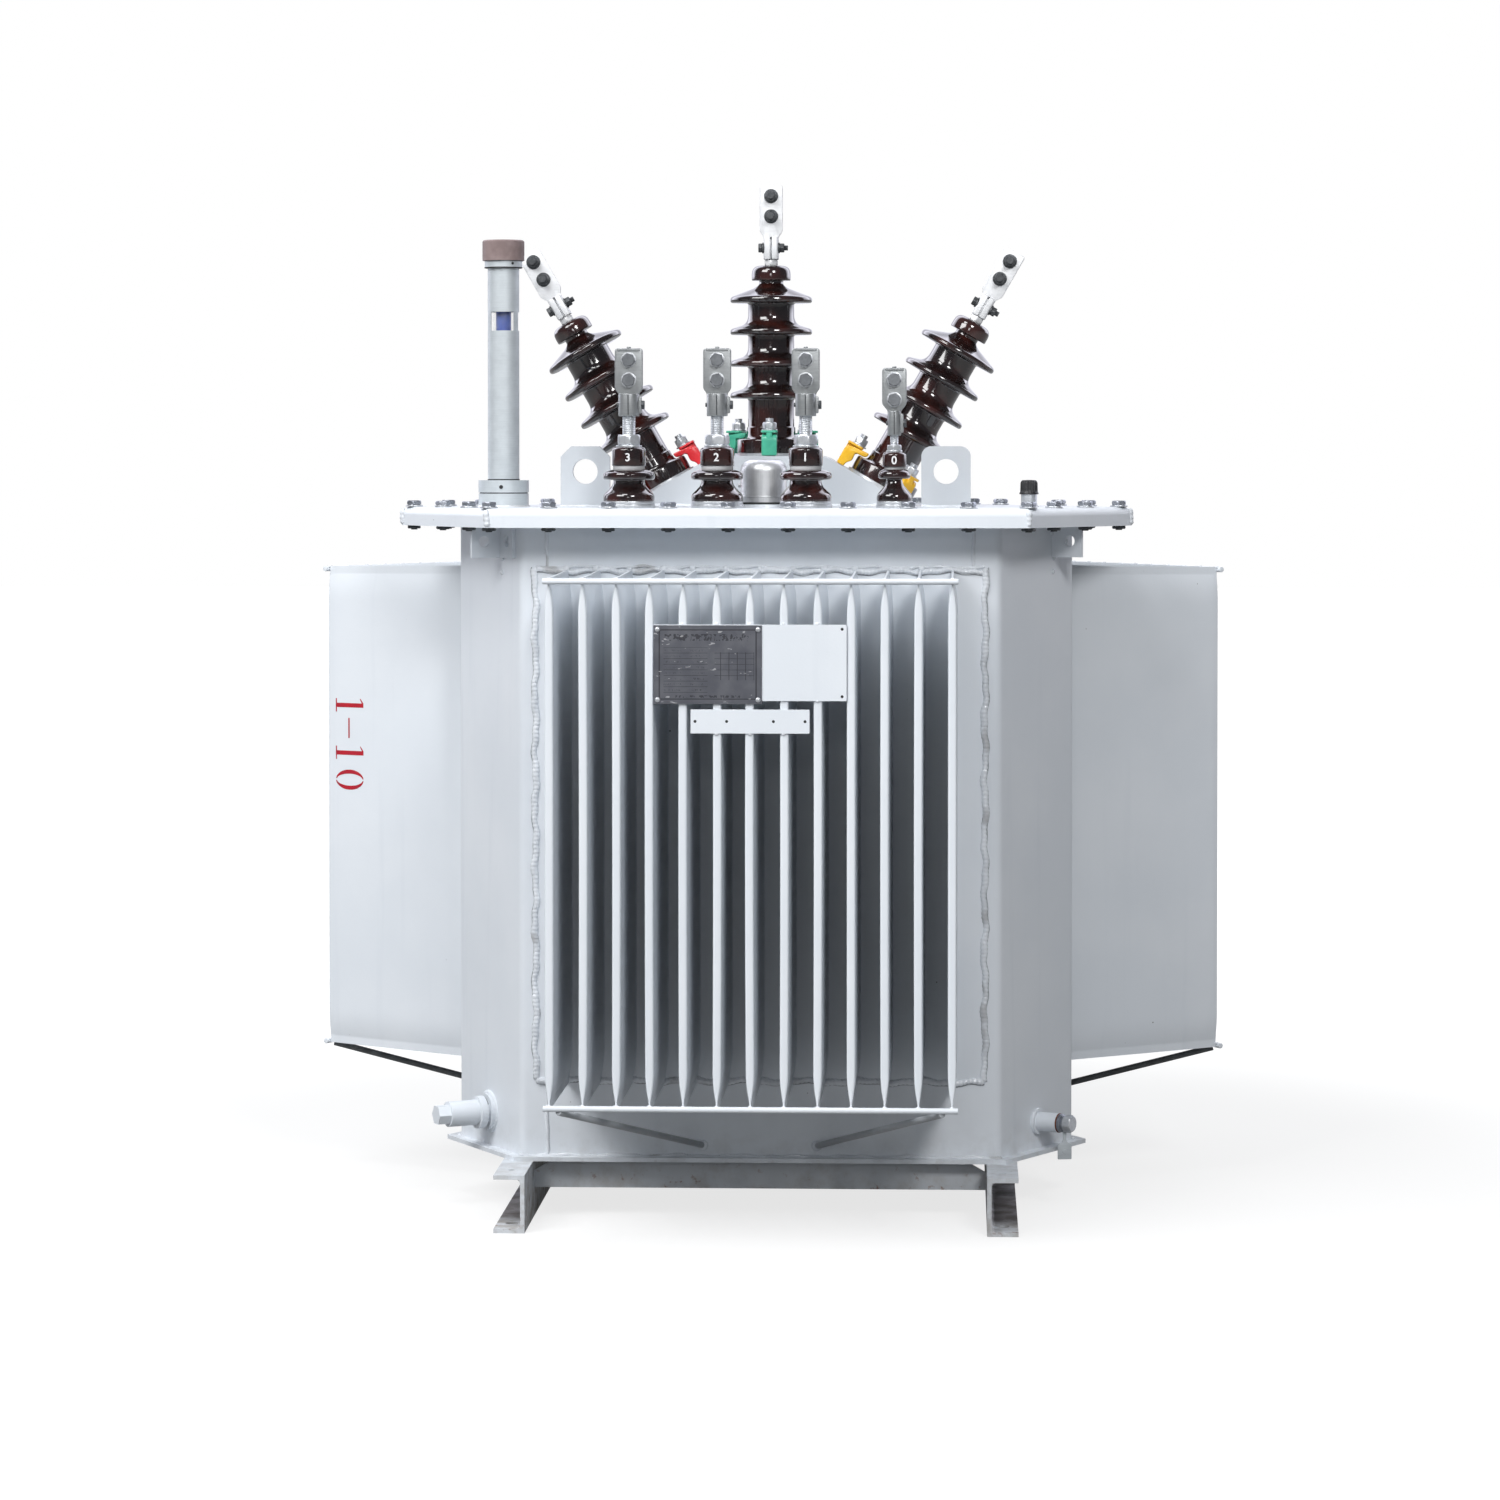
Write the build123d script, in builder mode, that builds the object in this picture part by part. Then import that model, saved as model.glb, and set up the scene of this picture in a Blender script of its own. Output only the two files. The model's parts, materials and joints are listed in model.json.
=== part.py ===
# Oil-filled three-phase distribution transformer with a three-sided tank.
#
# Millimetres, +Z up. The origin is on the ground, on the tank's vertical axis.
# The front, with the low-voltage bushings and the plates, faces -Y.

import os
from math import cos, radians, sin, tan

from build123d import *

os.makedirs("parts", exist_ok=True)

# Tank: a triangle in plan with its three corners cut off
long_face_distance = 318
cut_face_distance = 450
wall_thickness = 6
wall_bend_radius = 14

# Base plate, its two runners and the cross members between them
base_thickness = 6
base_overhang = 16
skid_height = 80
skid_flange = 43
skid_thickness = 6
skid_root_radius = 6
skid_inner_face = 318
foot_hole_radius = 9
foot_top_hole_radius = 5
foot_gauge_x = 680
foot_gauge_y = 820
foot_end_margin = 47
cross_member_height = 40
cross_member_depth = 26
cross_member_thickness = 5
cross_member_inset = 8
cope_width = 16
cope_height = 28

# Bolted joint at the top of the tank
tank_flange_width = 60
tank_flange_thickness = 12
gasket_thickness = 5
gasket_margin = 6
cover_thickness = 8
cover_overhang = 72
cover_rim_height = 27
cover_rim_thickness = 5
cover_edge_radius = 11

# Finned panels, one on each long face
fin_count = 13
fin_pitch = 45
fin_depth = 288
fin_width = 12.7
fin_pinch_width = 2.6
fin_edge_share = 0.3
fin_height = 729
fin_gap_below = 100
fin_gap_above = 57
fin_pinch_height = 18
fin_taper_height = 36
panel_side_margin = 45
panel_end_margin = 14
panel_thickness = 2
window_margin = 22
bar_radius = 4
bar_overhang = 8
bar_inset = 9
stay_radius = 4.5
stay_bar_offset = 257
stay_wall_offset = 80
stay_drop = 93
seat_gap = 0.2

# Eyes for the crane on the cover, and angle lugs on the tank's corners
lifting_lug_width = 71
lifting_lug_height = 87
lifting_lug_thickness = 12
lifting_lug_corner = 15
lifting_hole_radius = 18
lifting_hole_height = 50.6
lifting_lug_x = 260
lifting_lug_y = -135
rear_lug_y = 287
tank_lug_leg = 48
tank_lug_thickness = 5
tank_lug_height = 46
tank_lug_offset = 42
tank_lug_hole_distance = 29
tank_lug_hole_radius = 8

# Turret that carries the high-voltage bushings
turret_height = 73
turret_top_half_width = 82
turret_slope = 30
turret_depth = 150
turret_bend_radius = 30
hv_row_y = 60
hv_side_x = 161
hv_names = ("left", "middle", "right")
claw_starts = (0, -90, 180)

# High-voltage bushing, along its own axis
hv_ring_radius = 54
hv_ring_thickness = 4
hv_collar_radius = 51
hv_collar_height = 21.5
hv_core_radius = 34.3
hv_core_height = 59.4
hv_foot_flare = 8
hv_foot_flare_height = 7
hv_shed_radius = 61
hv_shed_pitch = 47.2
hv_shed_count = 4
hv_shed_rim = 9
hv_shed_rise = 6.5
hv_shed_root = 6
hv_crown_radius = 25
hv_crown_rise = 13.7
hv_edge_chamfer = 3
hv_neck_radius = 18
hv_neck_flare_height = 5.3
hv_neck_height = 5.6
hv_cap_radius = 29
hv_cap_height = 22.3
hv_cap_chamfer = 6

# Claws that hold the high-voltage bushing down
claw_count = 3
claw_width = 24
claw_nose_radius = 37
claw_outer_radius = 74
claw_height = 38
claw_corner = 4
claw_tip_height = 5
claw_toe_width = 12
claw_toe_height = 6
claw_seat_gap = 0.3

# High-voltage terminal
hv_nut_height = 9
hv_nut_across = 19
hv_clamp_width = 24
hv_clamp_depth = 24
hv_clamp_height = 33
hv_clamp_chamfer = 4
hv_pad_width = 34
hv_pad_height = 77
hv_pad_thickness = 6
hv_pad_corner = 4
hv_pad_hole_radius = 6
hv_pad_hole_height = 46
hv_pad_hole_pitch = 30

# Low-voltage bushings: three phases and a smaller neutral, in one row
lv_row_inset = 53
lv_pitch = 125
lv_ring_height = 9
lv_ring_margin = 1
lv_bell_rim = 8
lv_shed_bevel = 3
lv_head_bevel = 3
lv_phase_size = dict(base=36.5, bell=22.5, waist=23, neck=8, shed=37, shed_height=14,
                     collar=22.5, collar_height=5.5, head=24, head_height=26)
lv_neutral_size = dict(base=25, bell=24, waist=13, neck=8, shed=23, shed_height=13,
                       collar=14, collar_height=3.5, head=16.8, head_height=20.5)

# Low-voltage studs and terminals
lv_phase_stud = dict(radius=9.5, nut_across=29, nut_height=18, free=26)
lv_neutral_stud = dict(radius=6, nut_across=19, nut_height=10.5, free=13)
lv_phase_terminal = dict(barrel=14.8, barrel_height=32, pad_width=39.5, pad_height=64)
lv_neutral_terminal = dict(barrel=9.6, barrel_height=35, pad_width=34.5, pad_height=60.5)
terminal_bore_depth = 22
terminal_bore_gap = 0.15
terminal_bore_end_gap = 1
terminal_shoulder = 14
terminal_shoulder_overlap = 1
terminal_pad_thickness = 8
terminal_corner = 6
terminal_hole_radius = 6.5
terminal_hole_drop = 16.5
terminal_hole_pitch = 28.5

# Pressure relief valve
relief_y = -190
relief_pad_radius = 42
relief_pad_height = 4
relief_gasket_radius = 37
relief_gasket_height = 3
relief_flange_radius = 36
relief_flange_height = 6
relief_dome_radius = 33.5
relief_height = 61
relief_dome_corner = 17

# Oil gauge
gauge_x = -377
gauge_y = -150
gauge_lower_radius = 36
gauge_lower_height = 19
gauge_joint_radius = 33
gauge_joint_height = 1.5
gauge_upper_radius = 36.3
gauge_upper_height = 17.5
gauge_tube_radius = 22.6
gauge_tube_wall = 3
gauge_tube_height = 305.8
gauge_window_count = 3
gauge_window_width = 32
gauge_window_height = 27
gauge_window_centre = 228.6
gauge_glass_radius = 16.5
gauge_glass_wall = 2
gauge_float_radius = 11
gauge_float_height = 40
gauge_rod_radius = 3
gauge_collar_radius = 27
gauge_collar_height = 10
gauge_cap_radius = 30.2
gauge_cap_height = 29.5
gauge_cap_corner = 2

# Breather at the cover's right corner
breather_x = 379
breather_y = -150
breather_neck_radius = 11.5
breather_neck_height = 18
breather_cap_radius = 13.8
breather_cap_height = 20.7
breather_cap_chamfer = 2

# Drain on the left corner face and earth terminal on the right one
drain_height = 134
drain_boss_radius = 26
drain_boss_length = 8
drain_collar_radius = 23
drain_collar_length = 10
drain_groove_radius = 19
drain_groove_length = 4
drain_barrel_radius = 18
drain_barrel_length = 44
drain_plug_across = 25
drain_plug_length = 18
earth_height = 125
earth_boss_radius = 13.5
earth_boss_length = 36
earth_weld_radius = 18
earth_weld_length = 5
earth_washer_radius = 13
earth_washer_length = 9
earth_head_across = 22
earth_head_length = 13

# Plates across the tips of the front fins
plate_carrier_width = 258
plate_carrier_height = 102
plate_carrier_drop = 57.5
plate_thickness = 2
plate_hole_radius = 2
plate_hole_inset = 6
rating_plate_width = 145
rating_plate_height = 105
rating_plate_drop = 1
number_plate_width = 159
number_plate_height = 32
number_plate_gap = 11.5
number_hole_distance = 62.6

# Levels and directions that follow from the sizes above
base_top = skid_height + base_thickness
skid_length = foot_gauge_y + 2 * foot_end_margin
cross_member_distance = long_face_distance - cross_member_inset
fin_bottom = base_top + fin_gap_below
fin_top = fin_bottom + fin_height
flange_bottom = fin_top + fin_gap_above
flange_top = flange_bottom + tank_flange_thickness
cover_bottom = flange_top + gasket_thickness
cover_top = cover_bottom + cover_thickness
fin_tip = long_face_distance + fin_depth
lv_row_y = lv_row_inset - long_face_distance
panel_width = (fin_count - 1) * fin_pitch + 2 * panel_side_margin
bar_length = (fin_count - 1) * fin_pitch + 2 * bar_overhang
lower_bar_z = fin_bottom + bar_inset
upper_bar_z = fin_top - bar_inset - bar_radius
plate_carrier_centre = upper_bar_z - plate_carrier_drop - plate_carrier_height / 2
number_plate_centre = (
    plate_carrier_centre - (plate_carrier_height + number_plate_height) / 2 - number_plate_gap
)
turret_top = cover_top + turret_height
left_corner_angle = 210
right_corner_angle = -30
corner_angles = (left_corner_angle, right_corner_angle, 90)
panel_turns = {"front": 0, "right": 120, "left": 240}


def tank_outline(margin, bend_radius=0):
    """The tank's six-sided plan, moved outward by margin."""
    with BuildSketch() as outline:
        RegularPolygon(long_face_distance + margin, 3, major_radius=False, rotation=-30)
        RegularPolygon(
            cut_face_distance + margin, 3, major_radius=False, rotation=30, mode=Mode.INTERSECT
        )
        if bend_radius:
            fillet(outline.vertices(), bend_radius)
    return outline.sketch


def hexagon(across_flats):
    """A nut's outline, drawn at the sketch's origin."""
    return RegularPolygon(across_flats / 2, 6, major_radius=False)


def write_copy(piece, location, name):
    """Set a copy of a finished piece in its place and write it under its own name."""
    with BuildPart() as placed:
        with Locations(location):
            add(piece)
    placed.part.label = name
    export_step(placed.part, f"parts/{name}.step")


# Tank wall: a bent plate shell, open behind each finned panel
with BuildPart() as tank_wall:
    with BuildSketch(Plane.XY.offset(base_top)):
        add(tank_outline(0, wall_bend_radius))
        add(tank_outline(-wall_thickness, wall_bend_radius - wall_thickness), mode=Mode.SUBTRACT)
    extrude(amount=flange_bottom - base_top)
    with Locations((0, 0, fin_bottom + fin_height / 2)):
        with PolarLocations(long_face_distance, 3, start_angle=-90):
            Box(
                4 * wall_thickness,
                panel_width - 2 * window_margin,
                fin_height - 2 * window_margin,
                mode=Mode.SUBTRACT,
            )
tank_wall.part.label = "tank_wall"
export_step(tank_wall.part, "parts/tank_wall.step")

with BuildPart() as base_plate:
    with BuildSketch(Plane.XY.offset(skid_height)):
        add(tank_outline(base_overhang))
    extrude(amount=base_thickness)
base_plate.part.label = "base_plate"
export_step(base_plate.part, "parts/base_plate.step")

# Runners: channels laid on edge, open outward, with the foot holes near their ends
with BuildPart() as right_skid:
    with BuildSketch(Plane.XZ) as channel:
        with Locations((skid_inner_face, 0)):
            Rectangle(skid_flange, skid_height, align=(Align.MIN, Align.MIN))
        with Locations((skid_inner_face + skid_thickness, skid_thickness)):
            Rectangle(
                skid_flange,
                skid_height - 2 * skid_thickness,
                align=(Align.MIN, Align.MIN),
                mode=Mode.SUBTRACT,
            )
        fillet(channel.vertices().group_by(Axis.X)[1], skid_root_radius)
    extrude(amount=skid_length / 2, both=True)
    for end in (-1, 1):
        with Locations((foot_gauge_x / 2, end * foot_gauge_y / 2, skid_thickness / 2)):
            Cylinder(foot_hole_radius, skid_thickness, mode=Mode.SUBTRACT)
        with Locations((foot_gauge_x / 2, end * foot_gauge_y / 2, skid_height - skid_thickness / 2)):
            Cylinder(foot_top_hole_radius, skid_thickness, mode=Mode.SUBTRACT)
right_skid.part.label = "right_skid"
export_step(right_skid.part, "parts/right_skid.step")

with BuildPart() as left_skid:
    add(right_skid.part)
    mirror(about=Plane.YZ, mode=Mode.REPLACE)
left_skid.part.label = "left_skid"
export_step(left_skid.part, "parts/left_skid.step")

# Cross members: low channels between the runners, with their top corners coped
with BuildPart() as cross_member:
    with BuildSketch(Plane.XZ.offset(cross_member_distance)) as face:
        with Locations((0, skid_height)):
            Rectangle(2 * skid_inner_face, cross_member_height, align=(Align.CENTER, Align.MAX))
        top_corners = face.vertices().group_by(Axis.Y)[-1]
        chamfer(top_corners.sort_by(Axis.X)[0], cope_width, cope_height)
        chamfer(face.vertices().sort_by(Axis.X)[-2:].sort_by(Axis.Y)[-1], cope_width, cope_height)
    extrude(amount=-cross_member_depth)
    with Locations((0, cross_member_depth / 2 - cross_member_distance + cross_member_thickness,
                    skid_height - cross_member_height / 2)):
        Box(
            2 * skid_inner_face,
            cross_member_depth,
            cross_member_height - 2 * cross_member_thickness,
            mode=Mode.SUBTRACT,
        )
write_copy(cross_member.part, Location((0, 0, 0)), "front_cross_member")
write_copy(cross_member.part, Location((0, 0, 0), (0, 0, 180)), "rear_cross_member")

# Flange round the tank's top, gasket and cover with a turned-down rim
with BuildPart() as tank_flange:
    with BuildSketch(Plane.XY.offset(flange_bottom)):
        add(tank_outline(tank_flange_width))
        add(tank_outline(-wall_thickness, wall_bend_radius - wall_thickness), mode=Mode.SUBTRACT)
    extrude(amount=tank_flange_thickness)
tank_flange.part.label = "tank_flange"
export_step(tank_flange.part, "parts/tank_flange.step")

with BuildPart() as cover_gasket:
    with BuildSketch(Plane.XY.offset(flange_top)):
        add(tank_outline(tank_flange_width - gasket_margin))
        add(tank_outline(gasket_margin), mode=Mode.SUBTRACT)
    extrude(amount=gasket_thickness)
cover_gasket.part.label = "cover_gasket"
export_step(cover_gasket.part, "parts/cover_gasket.step")

with BuildPart() as cover:
    with BuildSketch(Plane.XY.offset(cover_top)):
        add(tank_outline(cover_overhang))
    extrude(amount=-cover_rim_height)
    fillet(cover.faces().sort_by(Axis.Z)[-1].edges(), cover_edge_radius)
    with BuildSketch(Plane.XY.offset(cover_bottom)):
        add(tank_outline(cover_overhang - cover_rim_thickness))
    extrude(amount=-cover_rim_height, mode=Mode.SUBTRACT)
cover.part.label = "cover"
export_step(cover.part, "parts/cover.step")

# One fin: a flat oil channel, pinched shut at its top and bottom ends
fin_levels = (
    (fin_bottom, fin_pinch_width),
    (fin_bottom + fin_pinch_height, fin_pinch_width),
    (fin_bottom + fin_pinch_height + fin_taper_height, fin_width),
    (fin_top - fin_pinch_height - fin_taper_height, fin_width),
    (fin_top - fin_pinch_height, fin_pinch_width),
    (fin_top, fin_pinch_width),
)
with BuildPart() as fin:
    for level, width in fin_levels:
        with BuildSketch(Plane.XY.offset(level)) as section:
            with Locations((0, -fin_tip)):
                Rectangle(width, fin_depth - panel_thickness, align=(Align.CENTER, Align.MIN))
            chamfer(section.vertices().group_by(Axis.Y)[0], fin_edge_share * width)
    loft(ruled=True)

with BuildPart() as fin_panel:
    with BuildSketch(Plane.XZ.offset(long_face_distance)):
        with Locations((0, fin_bottom + fin_height / 2)):
            Rectangle(panel_width, fin_height - 2 * panel_end_margin)
    extrude(amount=panel_thickness)
    with GridLocations(fin_pitch, 0, fin_count, 1):
        add(fin.part)

# Round bars across the fin tips, with two stays from the lower bar back to the wall
bar_y = -(fin_tip + bar_radius + seat_gap)
with BuildPart() as fin_bars:
    for level in (lower_bar_z, upper_bar_z):
        with Locations((0, bar_y, level)):
            Cylinder(bar_radius, bar_length, rotation=(0, 90, 0))
    for side in (-1, 1):
        stay_top = Vector(side * stay_bar_offset, bar_y, lower_bar_z - stay_radius)
        stay_foot = Vector(
            side * stay_wall_offset, -long_face_distance, lower_bar_z - stay_drop
        )
        stay = stay_foot - stay_top
        with BuildSketch(Plane(origin=stay_top, z_dir=stay)):
            Circle(stay_radius)
        extrude(amount=stay.length + stay_radius)
    split(bisect_by=Plane.XZ.offset(long_face_distance + seat_gap), keep=Keep.TOP)

for side_name, turn in panel_turns.items():
    write_copy(fin_panel.part, Location((0, 0, 0), (0, 0, turn)), f"{side_name}_fin_panel")
    write_copy(fin_bars.part, Location((0, 0, 0), (0, 0, turn)), f"{side_name}_fin_bars")

# Angle lugs on the three corner faces, just under the flange
with BuildPart() as tank_lugs:
    for angle in corner_angles:
        corner = Location((0, 0, flange_bottom - tank_lug_height / 2), (0, 0, angle))
        with Locations(corner * Location((cut_face_distance, tank_lug_offset, 0))):
            Box(
                tank_lug_thickness, tank_lug_leg, tank_lug_height,
                align=(Align.MIN, Align.MIN, Align.CENTER),
            )
            Box(
                tank_lug_leg, tank_lug_thickness, tank_lug_height,
                align=(Align.MIN, Align.MIN, Align.CENTER),
            )
        for x, y, turn in (
            (tank_lug_hole_distance, 0, (90, 0, 0)),
            (0, tank_lug_hole_distance, (0, 90, 0)),
        ):
            with Locations(corner * Location((cut_face_distance + x, tank_lug_offset + y, 0))):
                Cylinder(
                    tank_lug_hole_radius, 3 * tank_lug_thickness, rotation=turn, mode=Mode.SUBTRACT
                )
tank_lugs.part.label = "tank_lugs"
export_step(tank_lugs.part, "parts/tank_lugs.step")


def lifting_lug(round_corners):
    """An eye plate standing on the cover, with its upper corners rounded or cut off."""
    with BuildPart() as lug:
        with BuildSketch(Plane.XZ.offset(-lifting_lug_thickness / 2)) as outline:
            Rectangle(lifting_lug_width, lifting_lug_height, align=(Align.CENTER, Align.MIN))
            upper = outline.vertices().group_by(Axis.Y)[-1]
            if round_corners:
                fillet(upper, lifting_lug_corner)
            else:
                chamfer(upper, lifting_lug_corner)
            with Locations((0, lifting_hole_height)):
                Circle(lifting_hole_radius, mode=Mode.SUBTRACT)
        extrude(amount=lifting_lug_thickness)
    return lug.part


write_copy(
    lifting_lug(False), Location((-lifting_lug_x, lifting_lug_y, cover_top)), "left_lifting_lug"
)
write_copy(
    lifting_lug(True), Location((lifting_lug_x, lifting_lug_y, cover_top)), "right_lifting_lug"
)
write_copy(
    lifting_lug(False), Location((0, rear_lug_y, cover_top), (0, 0, 90)), "rear_lifting_lug"
)

# Turret: a welded box with a flat top and two slopes, one for each outer bushing
turret_run = turret_height / tan(radians(turret_slope))
turret_foot = turret_top_half_width + turret_run
with BuildPart() as hv_turret:
    with BuildSketch(Plane.XZ.offset(turret_depth / 2 - hv_row_y)) as turret_face:
        with BuildLine():
            Polyline(
                (-turret_foot, cover_top),
                (-turret_top_half_width, turret_top),
                (turret_top_half_width, turret_top),
                (turret_foot, cover_top),
                close=True,
            )
        make_face()
        fillet(turret_face.vertices().group_by(Axis.Y)[-1], turret_bend_radius)
    extrude(amount=-turret_depth)
hv_turret.part.label = "hv_turret"
export_step(hv_turret.part, "parts/hv_turret.step")

# High-voltage bushing: collar, plain core, four sheds, neck and cap, turned about one axis
hv_collar_top = hv_ring_thickness + hv_collar_height
hv_first_shed = hv_collar_top + hv_core_height
with BuildPart() as hv_bushing:
    with BuildSketch(Plane.XZ):
        with BuildLine():
            outline = [(0, hv_ring_thickness), (hv_collar_radius, hv_ring_thickness)]
            outline += [
                (hv_collar_radius, hv_collar_top - hv_edge_chamfer),
                (hv_collar_radius - hv_edge_chamfer, hv_collar_top),
                (hv_core_radius + hv_foot_flare, hv_collar_top),
                (hv_core_radius, hv_collar_top + hv_foot_flare_height),
            ]
            for shed in range(hv_shed_count):
                bottom = hv_first_shed + shed * hv_shed_pitch
                root = bottom + hv_shed_rim + hv_shed_rise
                outline += [
                    (hv_core_radius, bottom),
                    (hv_shed_radius - hv_edge_chamfer, bottom),
                    (hv_shed_radius, bottom + hv_edge_chamfer),
                    (hv_shed_radius, bottom + hv_shed_rim - hv_edge_chamfer),
                    (hv_shed_radius - hv_edge_chamfer, bottom + hv_shed_rim),
                ]
                if shed < hv_shed_count - 1:
                    outline += [
                        (hv_core_radius + hv_shed_root, root),
                        (hv_core_radius, root + hv_shed_root),
                    ]
            crown = outline[-1][1] + hv_crown_rise
            neck_top = crown + hv_neck_flare_height + hv_neck_height
            hv_cap_top = neck_top + hv_cap_height
            outline += [
                (hv_crown_radius, crown),
                (hv_neck_radius, crown + hv_neck_flare_height),
                (hv_neck_radius, neck_top),
                (hv_cap_radius, neck_top),
                (hv_cap_radius, hv_cap_top - hv_cap_chamfer),
                (hv_cap_radius - hv_cap_chamfer, hv_cap_top),
                (0, hv_cap_top),
            ]
            Polyline(*outline, close=True)
        make_face()
    revolve(axis=Axis.Z)

with BuildPart() as hv_ring:
    Cylinder(hv_ring_radius, hv_ring_thickness, align=(Align.CENTER, Align.CENTER, Align.MIN))

# Claw: it stands on its toe outside the collar and hooks over it with its nose
with BuildPart() as hv_claw:
    nose_bottom = hv_collar_top + claw_seat_gap
    claw_waist = hv_ring_radius + claw_seat_gap
    with BuildSketch(Plane.XZ) as claw_side:
        with BuildLine():
            Polyline(
                (claw_outer_radius, 0),
                (claw_outer_radius, claw_height - claw_corner),
                (claw_outer_radius - claw_corner, claw_height),
                (claw_nose_radius, claw_height),
                (claw_nose_radius, claw_height - claw_tip_height),
                (hv_core_radius + hv_foot_flare + 2 * claw_seat_gap, nose_bottom),
                (claw_waist, nose_bottom),
                (claw_waist, nose_bottom / 2),
                (claw_outer_radius - claw_toe_width, claw_toe_height),
                (claw_outer_radius - claw_toe_width, 0),
                close=True,
            )
        make_face()
    extrude(amount=claw_width / 2, both=True)


def claw_set(start_angle):
    """The claws round one bushing, counted from a start angle in the bushing's own plan."""
    with BuildPart() as claws:
        with PolarLocations(0, claw_count, start_angle=start_angle):
            add(hv_claw.part)
    return claws.part


# High-voltage terminal: stud and nut, clamp block and a flat pad for the line's lug
with BuildPart() as hv_terminal:
    with BuildSketch(Plane.XY.offset(hv_cap_top)):
        hexagon(hv_nut_across)
    extrude(amount=hv_nut_height)
    clamp_bottom = hv_cap_top + hv_nut_height
    with Locations((0, 0, clamp_bottom)):
        Box(
            hv_clamp_width, hv_clamp_depth, hv_clamp_height,
            align=(Align.CENTER, Align.CENTER, Align.MIN),
        )
    chamfer(hv_terminal.edges().filter_by(Axis.Z).group_by(SortBy.LENGTH)[-1], hv_clamp_chamfer)
    pad_bottom = clamp_bottom + hv_clamp_height
    with BuildSketch(Plane.XZ.offset(-hv_pad_thickness / 2)) as pad:
        with Locations((0, pad_bottom)):
            Rectangle(hv_pad_width, hv_pad_height, align=(Align.CENTER, Align.MIN))
        chamfer(pad.vertices().group_by(Axis.Y)[-1], hv_pad_corner)
        chamfer(pad.vertices().group_by(Axis.Y)[0], hv_pad_corner)
        for hole in (-0.5, 0.5):
            with Locations((0, pad_bottom + hv_pad_hole_height + hole * hv_pad_hole_pitch)):
                Circle(hv_pad_hole_radius, mode=Mode.SUBTRACT)
    extrude(amount=hv_pad_thickness)

slope_level = turret_top - (hv_side_x - turret_top_half_width) * tan(radians(turret_slope))
hv_places = (
    Location((-hv_side_x, hv_row_y, slope_level), (0, -turret_slope, 0)),
    Location((0, hv_row_y, turret_top)),
    Location((hv_side_x, hv_row_y, slope_level), (0, turret_slope, 0)),
)
for name, place, start in zip(hv_names, hv_places, claw_starts):
    write_copy(hv_bushing.part, place, f"hv_bushing_{name}")
    write_copy(claw_set(start), place, f"hv_claws_{name}")
    write_copy(hv_terminal.part, place, f"hv_terminal_{name}")

with BuildPart() as hv_rings:
    with Locations(*hv_places):
        add(hv_ring.part)
hv_rings.part.label = "hv_rings"
export_step(hv_rings.part, "parts/hv_rings.step")


def lv_bushing(size):
    """A low-voltage bushing: bell-shaped foot, neck, one shed, cement ring and head."""
    bell_top = lv_ring_height + size["bell"]
    shed_bottom = bell_top + size["neck"]
    shed_top = shed_bottom + size["shed_height"]
    collar_top = shed_top + size["collar_height"]
    head_top = collar_top + size["head_height"]
    with BuildPart() as bushing:
        with BuildSketch(Plane.XZ):
            with BuildLine():
                Polyline(
                    (0, lv_ring_height),
                    (size["base"], lv_ring_height),
                    (size["base"], lv_ring_height + lv_bell_rim),
                    (size["waist"], bell_top),
                    (size["waist"], shed_bottom),
                    (size["shed"] - lv_shed_bevel, shed_bottom),
                    (size["shed"], shed_bottom + lv_shed_bevel),
                    (size["shed"] - lv_shed_bevel, shed_bottom + 2 * lv_shed_bevel),
                    (size["collar"], shed_top),
                    (size["collar"], collar_top),
                    (size["head"], collar_top),
                    (size["head"], head_top - lv_head_bevel),
                    (size["head"] - lv_head_bevel, head_top),
                    (0, head_top),
                    close=True,
                )
            make_face()
        revolve(axis=Axis.Z)
    return bushing.part, head_top


def lv_stud(size, bottom):
    """A threaded stud and its nut, standing on the bushing's head."""
    length = size["nut_height"] + size["free"] + terminal_bore_depth - terminal_bore_end_gap
    with BuildPart() as stud:
        with BuildSketch(Plane.XY.offset(bottom)):
            hexagon(size["nut_across"])
        extrude(amount=size["nut_height"])
        with BuildSketch(Plane.XY.offset(bottom)):
            Circle(size["radius"])
        extrude(amount=length)
    return stud.part


def lv_terminal(size, stud_radius, bottom):
    """A clamp barrel for the stud, flattened above into a pad with two holes."""
    with BuildPart() as terminal:
        with BuildSketch(Plane.XY.offset(bottom)):
            Circle(size["barrel"])
        extrude(amount=size["barrel_height"])
        with BuildSketch(Plane.XZ.offset(-terminal_pad_thickness / 2)) as pad:
            with Locations((0, bottom + size["barrel_height"] - terminal_shoulder / 2)):
                Rectangle(size["pad_width"], size["pad_height"] + terminal_shoulder / 2,
                          align=(Align.CENTER, Align.MIN))
            chamfer(pad.vertices().group_by(Axis.Y)[-1], terminal_corner)
            shoulder = size["pad_width"] / 2 - size["barrel"] + terminal_shoulder_overlap
            chamfer(pad.vertices().group_by(Axis.Y)[0], shoulder)
            top_hole = bottom + size["barrel_height"] + size["pad_height"] - terminal_hole_drop
            for hole in (0, 1):
                with Locations((0, top_hole - hole * terminal_hole_pitch)):
                    Circle(terminal_hole_radius, mode=Mode.SUBTRACT)
        extrude(amount=terminal_pad_thickness)
        with BuildSketch(Plane.XY.offset(bottom)):
            Circle(stud_radius + terminal_bore_gap)
        extrude(amount=terminal_bore_depth, mode=Mode.SUBTRACT)
    return terminal.part


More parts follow.
